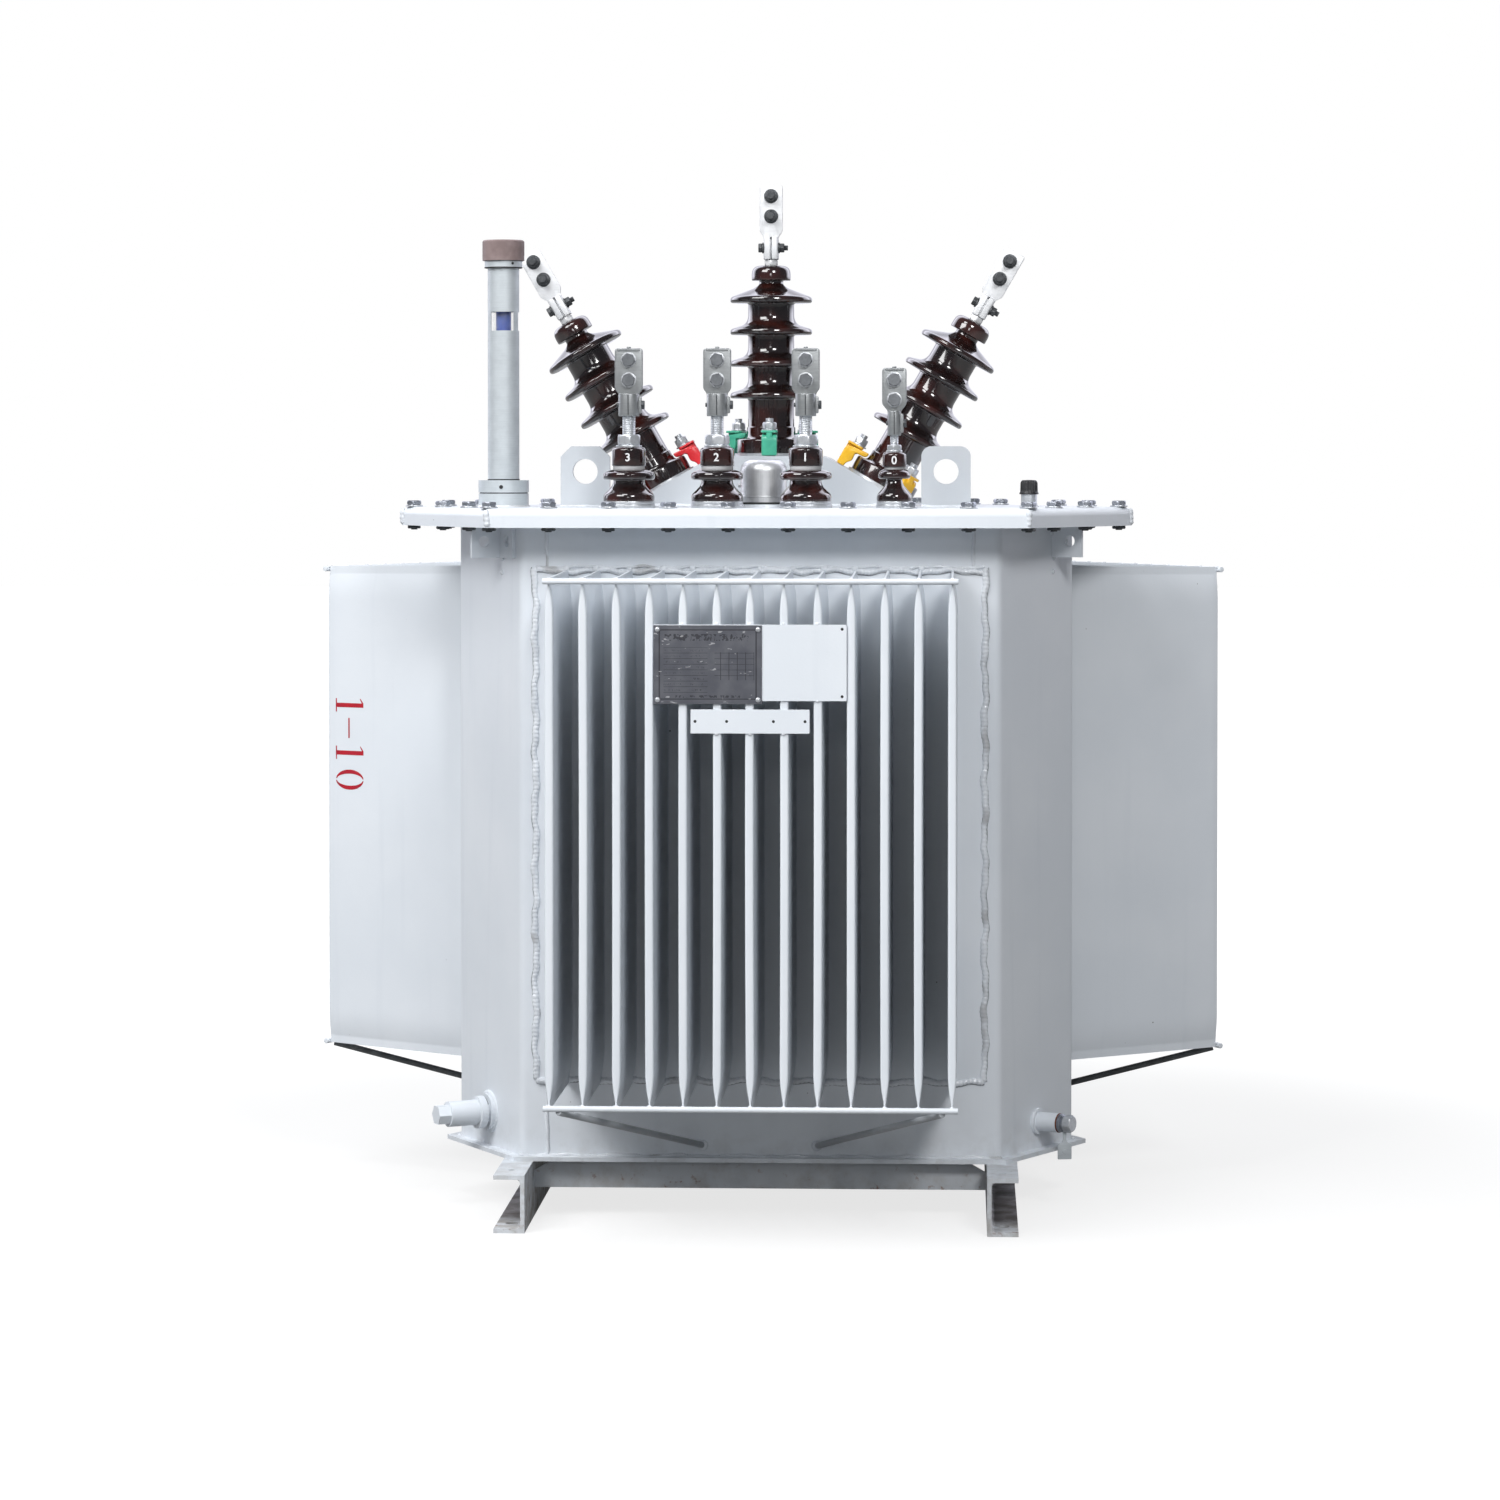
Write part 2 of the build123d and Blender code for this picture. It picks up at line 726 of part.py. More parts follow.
phase_bushing, phase_head_top = lv_bushing(lv_phase_size)
neutral_bushing, neutral_head_top = lv_bushing(lv_neutral_size)
phase_terminal_bottom = phase_head_top + lv_phase_stud["nut_height"] + lv_phase_stud["free"]
neutral_terminal_bottom = (
    neutral_head_top + lv_neutral_stud["nut_height"] + lv_neutral_stud["free"]
)
phase_stud = lv_stud(lv_phase_stud, phase_head_top)
neutral_stud = lv_stud(lv_neutral_stud, neutral_head_top)
phase_terminal = lv_terminal(lv_phase_terminal, lv_phase_stud["radius"], phase_terminal_bottom)
neutral_terminal = lv_terminal(
    lv_neutral_terminal, lv_neutral_stud["radius"], neutral_terminal_bottom
)

lv_row = {
    "phase_1": (-1.5, phase_bushing, phase_terminal),
    "phase_2": (-0.5, phase_bushing, phase_terminal),
    "phase_3": (0.5, phase_bushing, phase_terminal),
    "neutral": (1.5, neutral_bushing, neutral_terminal),
}
for name, (step, bushing, terminal) in lv_row.items():
    place = Location((step * lv_pitch, lv_row_y, cover_top))
    write_copy(bushing, place, f"lv_bushing_{name}")
    write_copy(terminal, place, f"lv_terminal_{name}")

with BuildPart() as lv_studs:
    for step in (-1.5, -0.5, 0.5):
        with Locations((step * lv_pitch, lv_row_y, cover_top)):
            add(phase_stud)
    with Locations((1.5 * lv_pitch, lv_row_y, cover_top)):
        add(neutral_stud)
lv_studs.part.label = "lv_studs"
export_step(lv_studs.part, "parts/lv_studs.step")

with BuildPart() as lv_rings:
    with BuildSketch(Plane.XY.offset(cover_top)):
        for step in (-1.5, -0.5, 0.5):
            with Locations((step * lv_pitch, lv_row_y)):
                Circle(lv_phase_size["base"] + lv_ring_margin)
        with Locations((1.5 * lv_pitch, lv_row_y)):
            Circle(lv_neutral_size["base"] + lv_ring_margin)
    extrude(amount=lv_ring_height)
lv_rings.part.label = "lv_rings"
export_step(lv_rings.part, "parts/lv_rings.step")

# Pressure relief valve: a stainless cap on a black gasket and a welded pad
relief_gasket_bottom = cover_top + relief_pad_height
relief_bottom = relief_gasket_bottom + relief_gasket_height
with BuildPart() as relief_pad:
    with BuildSketch(Plane.XY.offset(cover_top)):
        with Locations((0, relief_y)):
            Circle(relief_pad_radius)
    extrude(amount=relief_pad_height)
relief_pad.part.label = "relief_pad"
export_step(relief_pad.part, "parts/relief_pad.step")

with BuildPart() as relief_gasket:
    with BuildSketch(Plane.XY.offset(relief_gasket_bottom)):
        with Locations((0, relief_y)):
            Circle(relief_gasket_radius)
    extrude(amount=relief_gasket_height)
relief_gasket.part.label = "relief_gasket"
export_step(relief_gasket.part, "parts/relief_gasket.step")

with BuildPart() as relief_valve:
    with BuildSketch(Plane.XY.offset(relief_bottom)):
        with Locations((0, relief_y)):
            Circle(relief_flange_radius)
    extrude(amount=relief_flange_height)
    with BuildSketch(Plane.XY.offset(relief_bottom)):
        with Locations((0, relief_y)):
            Circle(relief_dome_radius)
    extrude(amount=relief_height)
    fillet(relief_valve.edges().sort_by(Axis.Z)[-1], relief_dome_corner)
relief_valve.part.label = "relief_valve"
export_step(relief_valve.part, "parts/relief_valve.step")

# Oil gauge: two discs, a tube with windows, a glass with a float on its rod, and a cap
gauge_upper_bottom = gauge_lower_height + gauge_joint_height
gauge_tube_bottom = gauge_upper_bottom + gauge_upper_height
gauge_collar_bottom = gauge_tube_bottom + gauge_tube_height
gauge_place = Location((gauge_x, gauge_y, cover_top))
with BuildPart() as gauge_body:
    with BuildSketch():
        Circle(gauge_lower_radius)
    extrude(amount=gauge_lower_height)
    with BuildSketch(Plane.XY.offset(gauge_lower_height)):
        Circle(gauge_joint_radius)
    extrude(amount=gauge_joint_height)
    with BuildSketch(Plane.XY.offset(gauge_upper_bottom)):
        Circle(gauge_upper_radius)
    extrude(amount=gauge_upper_height)
    with BuildSketch(Plane.XY.offset(gauge_tube_bottom)):
        Circle(gauge_tube_radius)
    extrude(amount=gauge_tube_height)
    with BuildSketch(Plane.XY.offset(gauge_collar_bottom)):
        Circle(gauge_collar_radius)
    extrude(amount=gauge_collar_height)
    with BuildSketch(Plane.XY.offset(gauge_tube_bottom)):
        Circle(gauge_tube_radius - gauge_tube_wall)
    extrude(amount=gauge_tube_height, mode=Mode.SUBTRACT)
    with Locations((0, 0, gauge_tube_bottom + gauge_window_centre)):
        with PolarLocations(gauge_tube_radius, gauge_window_count, start_angle=-90):
            Box(gauge_tube_radius, gauge_window_width, gauge_window_height, mode=Mode.SUBTRACT)
write_copy(gauge_body.part, gauge_place, "gauge_body")

with BuildPart() as gauge_glass:
    with BuildSketch(Plane.XY.offset(gauge_tube_bottom)):
        Circle(gauge_glass_radius)
        Circle(gauge_glass_radius - gauge_glass_wall, mode=Mode.SUBTRACT)
    extrude(amount=gauge_tube_height)
write_copy(gauge_glass.part, gauge_place, "gauge_glass")

with BuildPart() as gauge_float:
    with Locations((0, 0, gauge_tube_bottom + gauge_window_centre)):
        Cylinder(gauge_float_radius, gauge_float_height)
    with BuildSketch(Plane.XY.offset(gauge_tube_bottom)):
        Circle(gauge_rod_radius)
    extrude(amount=gauge_window_centre)
write_copy(gauge_float.part, gauge_place, "gauge_float")

with BuildPart() as gauge_cap:
    with BuildSketch(Plane.XY.offset(gauge_collar_bottom + gauge_collar_height)):
        Circle(gauge_cap_radius)
    extrude(amount=gauge_cap_height)
    chamfer(gauge_cap.edges().sort_by(Axis.Z)[-1], gauge_cap_corner)
write_copy(gauge_cap.part, gauge_place, "gauge_cap")

# Breather: a short neck with a black cap
breather_place = Location((breather_x, breather_y, cover_top))
with BuildPart() as breather_neck:
    with BuildSketch():
        Circle(breather_neck_radius)
    extrude(amount=breather_neck_height)
write_copy(breather_neck.part, breather_place, "breather_neck")

with BuildPart() as breather_cap:
    with BuildSketch(Plane.XY.offset(breather_neck_height)):
        Circle(breather_cap_radius)
    extrude(amount=breather_cap_height)
    chamfer(breather_cap.edges().sort_by(Axis.Z)[-1], breather_cap_chamfer)
write_copy(breather_cap.part, breather_place, "breather_cap")


def corner_face(angle, height):
    """Place on a corner face at a height, with local +Z pointing out of the tank."""
    x = cut_face_distance * cos(radians(angle))
    y = cut_face_distance * sin(radians(angle))
    return Location(Plane(origin=(x, y, height), z_dir=(x, y, 0)))


# Drain: boss, groove, collar and barrel turned about one axis, closed by a hexagon plug
drain_place = corner_face(left_corner_angle, drain_height)
drain_steps = (
    (drain_boss_radius, drain_boss_length),
    (drain_groove_radius, drain_groove_length),
    (drain_collar_radius, drain_collar_length),
    (drain_barrel_radius, drain_barrel_length),
)
with BuildPart() as drain_stub:
    reach = 0
    for radius, length in drain_steps:
        with BuildSketch(Plane.XY.offset(reach)):
            Circle(radius)
        extrude(amount=length)
        reach += length
write_copy(drain_stub.part, drain_place, "drain_stub")

with BuildPart() as drain_plug:
    with BuildSketch(Plane.XY.offset(reach)):
        hexagon(drain_plug_across)
    extrude(amount=drain_plug_length)
write_copy(drain_plug.part, drain_place, "drain_plug")

# Earth terminal: a welded boss with a bolt and its washers
earth_place = corner_face(right_corner_angle, earth_height)
with BuildPart() as earth_boss:
    with BuildSketch():
        Circle(earth_boss_radius)
    extrude(amount=earth_boss_length)
    with BuildSketch():
        Circle(earth_weld_radius)
    extrude(amount=earth_weld_length)
write_copy(earth_boss.part, earth_place, "earth_boss")

with BuildPart() as earth_bolt:
    with BuildSketch(Plane.XY.offset(earth_boss_length)):
        Circle(earth_washer_radius)
    extrude(amount=earth_washer_length)
    with BuildSketch(Plane.XY.offset(earth_boss_length + earth_washer_length)):
        hexagon(earth_head_across)
    extrude(amount=earth_head_length)
write_copy(earth_bolt.part, earth_place, "earth_bolt")

# Plates: a carrier and a bare rating plate, and a small number plate below
carrier_face = Plane.XZ.offset(fin_tip + seat_gap)
with BuildPart() as plate_carrier:
    with BuildSketch(carrier_face):
        with Locations((0, plate_carrier_centre)):
            Rectangle(plate_carrier_width, plate_carrier_height)
        for edge in (-1, 1):
            with Locations((
                plate_carrier_width / 2 - plate_hole_inset,
                plate_carrier_centre + edge * (plate_carrier_height / 2 - plate_hole_inset),
            )):
                Circle(plate_hole_radius, mode=Mode.SUBTRACT)
    extrude(amount=plate_thickness)
plate_carrier.part.label = "plate_carrier"
export_step(plate_carrier.part, "parts/plate_carrier.step")

with BuildPart() as rating_plate:
    with BuildSketch(carrier_face.offset(plate_thickness)):
        with Locations((
            -plate_carrier_width / 2,
            plate_carrier_centre + plate_carrier_height / 2 - rating_plate_drop,
        )):
            Rectangle(rating_plate_width, rating_plate_height, align=(Align.MIN, Align.MAX))
    extrude(amount=plate_thickness / 2)
rating_plate.part.label = "rating_plate"
export_step(rating_plate.part, "parts/rating_plate.step")

with BuildPart() as number_plate:
    with BuildSketch(carrier_face):
        with Locations((0, number_plate_centre)):
            Rectangle(number_plate_width, number_plate_height)
            for distance in (number_hole_distance, number_plate_width - 2 * plate_hole_inset):
                with GridLocations(distance, 0, 2, 1):
                    Circle(plate_hole_radius, mode=Mode.SUBTRACT)
    extrude(amount=plate_thickness)
number_plate.part.label = "number_plate"
export_step(number_plate.part, "parts/number_plate.step")
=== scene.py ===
# %% [markdown]
# # A distribution transformer, dressed in Blender
#
# The CAD model comes in as a fixed frame. This script gives every CAD solid a
# procedural finish, and adds what CAD left out: pressed fins, turned porcelain, nuts
# and bolts, and welds. Shapes are worked out with numpy in millimetres, and `build`
# turns them into metres.

# %% Load the frame
import json
from math import radians

import bmesh
import bpy
import numpy as np
from mathutils import Matrix, Vector


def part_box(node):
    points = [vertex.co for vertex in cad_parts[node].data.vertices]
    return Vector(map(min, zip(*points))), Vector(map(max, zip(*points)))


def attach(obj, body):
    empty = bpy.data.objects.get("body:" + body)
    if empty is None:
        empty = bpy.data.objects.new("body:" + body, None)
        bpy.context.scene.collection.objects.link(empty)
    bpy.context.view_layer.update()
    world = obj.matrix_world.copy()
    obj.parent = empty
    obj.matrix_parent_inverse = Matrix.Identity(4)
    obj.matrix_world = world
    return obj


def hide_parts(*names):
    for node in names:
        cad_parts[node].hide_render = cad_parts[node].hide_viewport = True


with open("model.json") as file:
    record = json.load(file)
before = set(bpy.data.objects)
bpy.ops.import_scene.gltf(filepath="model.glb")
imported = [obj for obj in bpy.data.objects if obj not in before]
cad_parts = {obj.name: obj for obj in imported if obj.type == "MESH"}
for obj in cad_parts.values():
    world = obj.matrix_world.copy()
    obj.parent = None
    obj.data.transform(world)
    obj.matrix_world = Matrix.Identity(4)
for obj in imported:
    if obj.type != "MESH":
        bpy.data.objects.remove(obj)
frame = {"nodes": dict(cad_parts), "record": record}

for extra in ("Cube", "Light", "Camera"):
    if extra in bpy.data.objects:
        bpy.data.objects.remove(bpy.data.objects[extra])
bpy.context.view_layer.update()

# %% [markdown]
# ## Where things are
#
# A piece goes where its CAD node is, so its place is read from the frame and not
# typed again. The heights of the cover and of the turret carry all that stands on
# the tank.

# %% Levels from the frame


def low(node):
    """Lowest corner of a CAD node, in millimetres."""
    return np.array(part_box(node)[0]) * 1000


def high(node):
    """Highest corner of a CAD node, in millimetres."""
    return np.array(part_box(node)[1]) * 1000


def foot(node):
    """Middle of a CAD node in plan, at its lowest level."""
    middle = (low(node) + high(node)) / 2
    middle[2] = low(node)[2]
    return middle


cover_top = high("cover")[2]
turret_top = high("hv_turret")[2]
wall_top, wall_low = low("tank_flange")[2], high("base_plate")[2]
print("cover", round(cover_top, 1), "turret", round(turret_top, 1))

# %% [markdown]
# ## From numbers to a mesh
#
# Almost everything here is a stack of closed loops: a lathe part is a stack of
# circles, a fin is a stack of thin outlines, a weld bead is a stack of small
# sections along a line. So one function joins any stack into quads, and closes its
# two ends. Blender's primitives and modifiers would give the same shapes with far
# less control over where the points lie.

# %% Loops to faces


def skin(loops):
    """Join a stack of closed loops, an array of (loops, points, 3).

    Quad (i, j) has the points j and j + 1 of the loops i and i + 1. The first and
    the last loop are each closed with one face.
    """
    loops = np.asarray(loops, float)
    rows, count = loops.shape[:2]
    index = np.arange(rows * count).reshape(rows, count)
    following = np.roll(index, -1, axis=1)
    quads = np.stack([index[:-1], following[:-1], following[1:], index[1:]], -1)
    return loops.reshape(-1, 3), quads.reshape(-1, 4), [index[0][::-1], index[-1]]


def flat_shape(points, faces):
    """Part without thickness: its points, and faces with any number of corners."""
    return points, np.zeros((0, 4), int), faces


def moved(part, matrix):
    """Each point p of the part goes to R p + t, with R and t from the 4 x 4 matrix."""
    points, quads, caps = part
    m = np.array(matrix)
    return points @ m[:3, :3].T + m[:3, 3], quads, caps


def all_moved(parts, matrix):
    """A list of parts, all moved by one matrix."""
    return [moved(part, matrix) for part in parts]


def at(*place):
    """A shift by x, y and z."""
    return Matrix.Translation(place)


def turn(degrees, axis="Z"):
    """A turn about one of the three axes."""
    return Matrix.Rotation(radians(degrees), 4, axis)


# %% [markdown]
# ## From parts to a piece
#
# A piece is one Blender object with one finish. It rides on the model's only body,
# and may stand for CAD nodes, which are then hidden.
# Finishes are looked up by name, and most have the name of their slot.

# %% Pieces
finishes = {}


def build(name, parts, slot, replaces=(), finish=None):
    """Join parts into one piece, with smooth faces and sharp edges above 35 degrees.

    The faces of each part count on from the points of the parts before it.
    """
    starts = np.cumsum([0] + [len(points) for points, _, _ in parts])
    points = np.concatenate([points for points, _, _ in parts]) / 1000
    faces = np.concatenate([q + s for (_, q, _), s in zip(parts, starts)]).tolist()
    faces += [(cap + s).tolist() for (_, _, caps), s in zip(parts, starts) for cap in caps]
    mesh = bpy.data.meshes.new(name)
    mesh.from_pydata(points.tolist(), [], faces)
    shell = bmesh.new()
    shell.from_mesh(mesh)
    bmesh.ops.recalc_face_normals(shell, faces=shell.faces)
    shell.to_mesh(mesh)
    shell.free()
    mesh.shade_smooth()
    mesh.set_sharp_from_angle(angle=radians(35))
    mesh.materials.append(finishes[finish or slot])
    piece = bpy.data.objects.new(name, mesh)
    bpy.context.scene.collection.objects.link(piece)
    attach(piece, "root")
    if replaces:
        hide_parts(*replaces)
    mesh.calc_loop_triangles()
    print(name, len(mesh.loop_triangles), "triangles")


# %% [markdown]
# ## Outlines with soft corners
#
# Cast, pressed and turned parts have no sharp corners. Here an outline is a list of
# corners, each with its own radius, and a short curve replaces each corner. A
# Bevel modifier could do this on the finished mesh, but it rounds all edges alike.

# %% Rounded outlines


def rounded(corners, steps=6):
    """Outline through corners (x, y, radius), each replaced by a quadratic Bezier curve.

    The curve starts at a, radius before the corner c, and ends at b, radius after
    it: p(t) = (1 - t)^2 a + 2 t (1 - t) c + t^2 b. Doubled points are dropped.
    """
    corners = np.asarray(corners, float)
    c, radius = corners[:, :2], corners[:, 2:]
    to_last, to_next = np.roll(c, 1, 0) - c, np.roll(c, -1, 0) - c
    a = c + radius * to_last / np.linalg.norm(to_last, axis=1, keepdims=True)
    b = c + radius * to_next / np.linalg.norm(to_next, axis=1, keepdims=True)
    t = np.linspace(0, 1, steps)[:, None, None]
    curve = (1 - t) ** 2 * a + 2 * t * (1 - t) * c + t**2 * b
    line = curve.transpose(1, 0, 2).reshape(-1, 2)
    steps_taken = np.linalg.norm(np.diff(line, axis=0), axis=1)
    return line[np.r_[True, steps_taken > 1e-6]]


def box_outline(width, height, radius):
    """Rounded rectangle about the origin."""
    x, y = width / 2, height / 2
    return rounded([(-x, -y, radius), (x, -y, radius), (x, y, radius), (-x, y, radius)])


# %% [markdown]
# ## The lathe and the slab
#
# Two shapes make most of the small parts. The lathe turns a profile about its
# axis. The slab gives a flat outline a thickness, with a quarter round along both
# of its rims, as a file or a tumbler leaves on plate.

# %% Lathe and slab


def wound(r, z, segments):
    """Skin of the points (r cos a, r sin a, z), where the radius r may depend on a."""
    a = np.linspace(0, 2 * np.pi, segments, endpoint=False)
    return skin(np.stack([r * np.cos(a), r * np.sin(a), z + 0 * a], -1))


def turned(profile, segments=96):
    """Lathe surface of a profile, a list of points (r, z)."""
    r, z = np.asarray(profile, float).T[:, :, None]
    return wound(r, z, segments)


def slab(outline, thickness, edge=1.0):
    """Plate between z = -thickness / 2 and thickness / 2, with rims of radius edge.

    At the angle u the outline is drawn in by edge (1 - sin u) along its normals, and
    lies edge (1 - cos u) inside of the face. The normal is the chord from the last
    point to the next one, turned by 90 degrees.
    """
    outline = np.asarray(outline, float)
    if np.allclose(outline[0], outline[-1]):
        outline = outline[:-1]
    chord = np.roll(outline, -1, 0) - np.roll(outline, 1, 0)
    normal = np.stack([chord[:, 1], -chord[:, 0]], -1)
    normal /= np.linalg.norm(normal, axis=1, keepdims=True)
    x, y = outline.T
    if (x * np.roll(y, -1) - np.roll(x, -1) * y).sum() < 0:
        normal = -normal
    u = np.linspace(0, np.pi / 2, 4)
    inset = np.concatenate([edge * (1 - np.sin(u)), edge * (1 - np.sin(u[::-1]))])
    drop = edge * (1 - np.cos(u))
    level = np.concatenate([-thickness / 2 + drop, thickness / 2 - drop[::-1]])
    flat = outline - inset[:, None, None] * normal
    height = np.broadcast_to(level[:, None, None], flat.shape[:2] + (1,))
    return skin(np.concatenate([flat, height], -1))


# %% [markdown]
# ## Nuts, bolts and threads
#
# A nut is a lathe part whose radius changes with the angle: it is the smaller of a
# hexagon's radius and a cone's, and the cone leaves the curved chamfer that real
# nuts have. A thread is a lathe part whose radius also changes with height.

# %% Fasteners


def nut(across, height, segments=48):
    """Hexagon with both faces chamfered, standing on z = 0.

    At the angle a, the radius is half the width over the cosine to the nearest flat.
    """
    a = np.linspace(0, 2 * np.pi, segments, endpoint=False)
    side = across / 2 / np.cos((a + np.pi / 6) % (np.pi / 3) - np.pi / 6)
    cut = across * 0.045
    level = np.array([0, cut, 2.2 * cut, height - 2.2 * cut, height - cut, height])
    limit = across / 2 * np.array([0.97, 1.07, 1.2, 1.2, 1.07, 0.97])
    return wound(np.minimum(side, limit[:, None]), level[:, None], segments)


def disc(radius, height, edge=0.6, segments=48):
    """Washer, ring or pin standing on z = 0, with softened rims."""
    corners = [(0.01, 0, 0), (radius, 0, edge), (radius, height, edge), (0.01, height, 0)]
    return turned(rounded(corners, 3), segments)


def thread(radius, length, pitch=2.5, depth=0.9, segments=40):
    """Threaded rod: r(a, z) = radius - depth |2 frac(z / pitch - a / 2 pi) - 1|."""
    z = np.linspace(0, length, int(length / pitch * 6) + 1)[:, None]
    a = np.linspace(0, 2 * np.pi, segments, endpoint=False)
    saw = (z / pitch - a / (2 * np.pi)) % 1
    return wound(radius - depth * np.abs(2 * saw - 1), z, segments)


def bolt_head(across, height, washer):
    """Hexagon head on a washer, standing on z = 0."""
    return [disc(washer, 2.2), moved(nut(across, height), at(0, 0, 2.2))]


# %% [markdown]
# ## Weld beads
#
# Seams on a hand-welded tank are rows of small overlapping puddles. A bead is a
# half-sunk rope of round sections whose radius ripples with the length run, and
# whose line wanders a little. A bump map would not change the outline of a seam,
# and on this tank the seams catch the light as real relief.

# %% Beads


def bead(start, end, radius=3.6, ripple=3.2, seed=0.0, sway=0.8, step=1.3, sides=10):
    """Rope from start to end: r(s) = radius (0.9 + 0.16 |sin(pi s / ripple)| + slow waves).

    s is the length run, with a ring of points every step. Two sines of s shift the
    rope sideways by up to sway millimetres.
    """
    start, end = np.asarray(start, float), np.asarray(end, float)
    length = np.linalg.norm(end - start)
    s = np.linspace(0, length, max(int(length / step), 4))
    along = (end - start) / length
    side = np.cross(along, (0, 0, 1) if abs(along[2]) < 0.9 else (1, 0, 0))
    side /= np.linalg.norm(side)
    up = np.cross(side, along)
    slow = 0.10 * np.sin(s / 17 + seed) + 0.09 * np.sin(s / 7.3 + 2.1 * seed)
    r = radius * (0.90 + 0.16 * np.abs(np.sin(np.pi * s / ripple)) + slow)
    r *= np.clip(np.minimum(s, length - s) / radius + 0.25, 0, 1) ** 0.5
    wander = sway * (np.sin(s / 13 + 3 * seed) + 0.5 * np.sin(s / 5.1 + seed))[:, None] / 1.5 * up
    a = np.linspace(0, 2 * np.pi, sides, endpoint=False)[:, None]
    ring = np.cos(a) * side + np.sin(a) * up
    line = start + s[:, None] * along + wander
    return skin(line[:, None] + r[:, None, None] * ring)


def ring_bead(around, radius=2.6, ripple=4.0, seed=0.0):
    """Bead that runs round the z axis at the distance around, and meets its own start.

    Its section is a circle of radius (0.9 + 0.16 |sin(pi s / ripple)| + slow waves),
    where s is the length run.
    """
    a = np.linspace(0, 2 * np.pi, max(int(around * 4), 40))[:, None]
    s = a * around
    r = radius * (0.9 + 0.16 * np.abs(np.sin(np.pi * s / ripple)) + 0.15 * np.sin(2 * a + seed))
    b = np.linspace(0, 2 * np.pi, 10, endpoint=False)
    out = around + r * np.cos(b)
    return skin(np.stack([out * np.cos(a), out * np.sin(a), r * np.sin(b)], -1))


def blob(place, radius, height, turned_to=Matrix()):
    """Dab of weld: a flattened dome r(h) = radius sqrt(1 - h^2), standing on its place."""
    h = np.sin(np.linspace(-0.5, np.pi / 2 - 0.12, 7))
    dome = turned(np.stack([radius * np.sqrt(1 - h**2), height * h], -1), 14)
    return moved(dome, at(*place) @ turned_to)


# %% [markdown]
# ## Shader sums in plain Python
#
# A finish is mostly arithmetic on patterns. Wired by hand, each sum is a Math node
# with two links. `Value` wraps a socket and lets Python write those sums, and
# `Finish` owns one material. Any other node comes from its `node` method.

# %% Value and Finish


class Value:
    """A number that changes over the surface, which Python can add and multiply."""

    def __init__(self, finish, socket):
        self.finish, self.socket = finish, socket

    def math(self, operation, *terms):
        """One Math node with the terms as its inputs."""
        return self.finish.node("ShaderNodeMath", {"operation": operation}, dict(enumerate(terms)))

    def __add__(self, other):
        return self.math("ADD", self, other)

    def __sub__(self, other):
        return self.math("SUBTRACT", self, other)

    def __rsub__(self, other):
        return self.math("SUBTRACT", other, self)

    def __mul__(self, other):
        return self.math("MULTIPLY", self, other)

    __radd__, __rmul__ = __add__, __mul__

    def only(self, operation):
        """One Math node that takes this value alone."""
        return self.math(operation, self)

    def rise(self, first, last):
        """0 below first and 1 above last, with a smooth step between."""
        return self.finish.node(
            "ShaderNodeMapRange",
            {"interpolation_type": "SMOOTHSTEP"},
            {"Value": self, "From Min": first, "From Max": last},
        )

    def within(self, first, last, soft=0.004):
        """1 between first and last and 0 outside, with narrow smooth steps inside them."""
        return self.rise(first, first + soft) * (1 - self.rise(last - soft, last))


class Finish:
    """One material: a Principled shader and the nodes that feed it."""

    def __init__(self, name, **constants):
        self.material = finishes[name] = bpy.data.materials.new(name)
        self.material.use_nodes = True
        self.tree = self.material.node_tree
        self.shader = self.tree.nodes["Principled BSDF"]
        for key, value in constants.items():
            self.shader.inputs[key.replace("_", " ").title().replace("Ior", "IOR")].default_value = value
        self.place = self.node("ShaderNodeTexCoord", {}, {}, "Object")

    def node(self, kind, settings, sockets, output=0):
        """Add a node: first its settings, then a value or a link for each socket."""
        made = self.tree.nodes.new(kind)
        for key, value in settings.items():
            setattr(made, key, value)
        for key, value in sockets.items():
            if isinstance(value, Value):
                self.tree.links.new(value.socket, made.inputs[key])
            else:
                made.inputs[key].default_value = value
        return Value(self, made.outputs[output])

    def feed(self, key, value):
        """Link a value to one of the shader's own sockets."""
        self.tree.links.new(value.socket, self.shader.inputs[key])

    def stretched(self, x, y, z):
        """The place with each axis multiplied, so that a pattern gets long or short."""
        return self.node(
            "ShaderNodeVectorMath", {"operation": "MULTIPLY"}, {0: self.place, 1: (x, y, z)}
        )

    def noise(self, scale, detail=3.0, roughness=0.5, place=None):
        """Cloudy pattern from 0 to 1; scale is the number of clouds in a metre."""
        return self.node(
            "ShaderNodeTexNoise", {},
            {"Vector": place or self.place, "Scale": scale, "Detail": detail,
             "Roughness": roughness},
        )

    def spots(self, scale, size, soft):
        """1 in round spots about scattered seeds and 0 elsewhere; size is in cell widths."""
        cells = {"Vector": self.place, "Scale": scale}
        return 1 - self.node("ShaderNodeTexVoronoi", {}, cells, "Distance").rise(size, size + soft)

    def axis(self, letter):
        """Height or another coordinate of the place, in metres."""
        return self.node("ShaderNodeSeparateXYZ", {}, {0: self.place}, letter)

    def mix(self, share, first, second):
        """Colour that goes from the first to the second as share goes from 0 to 1."""
        first, second = (c if isinstance(c, Value) else (*c, 1) for c in (first, second))
        return self.node("ShaderNodeMix", {"data_type": "RGBA"}, {0: share, 6: first, 7: second}, 2)

    def relief(self, height, distance, strength=1.0):
        """Bump from a height pattern; the distance in metres is what height 1 means."""
        self.feed("Normal", self.node(
            "ShaderNodeBump", {}, {"Height": height, "Distance": distance, "Strength": strength}
        ))


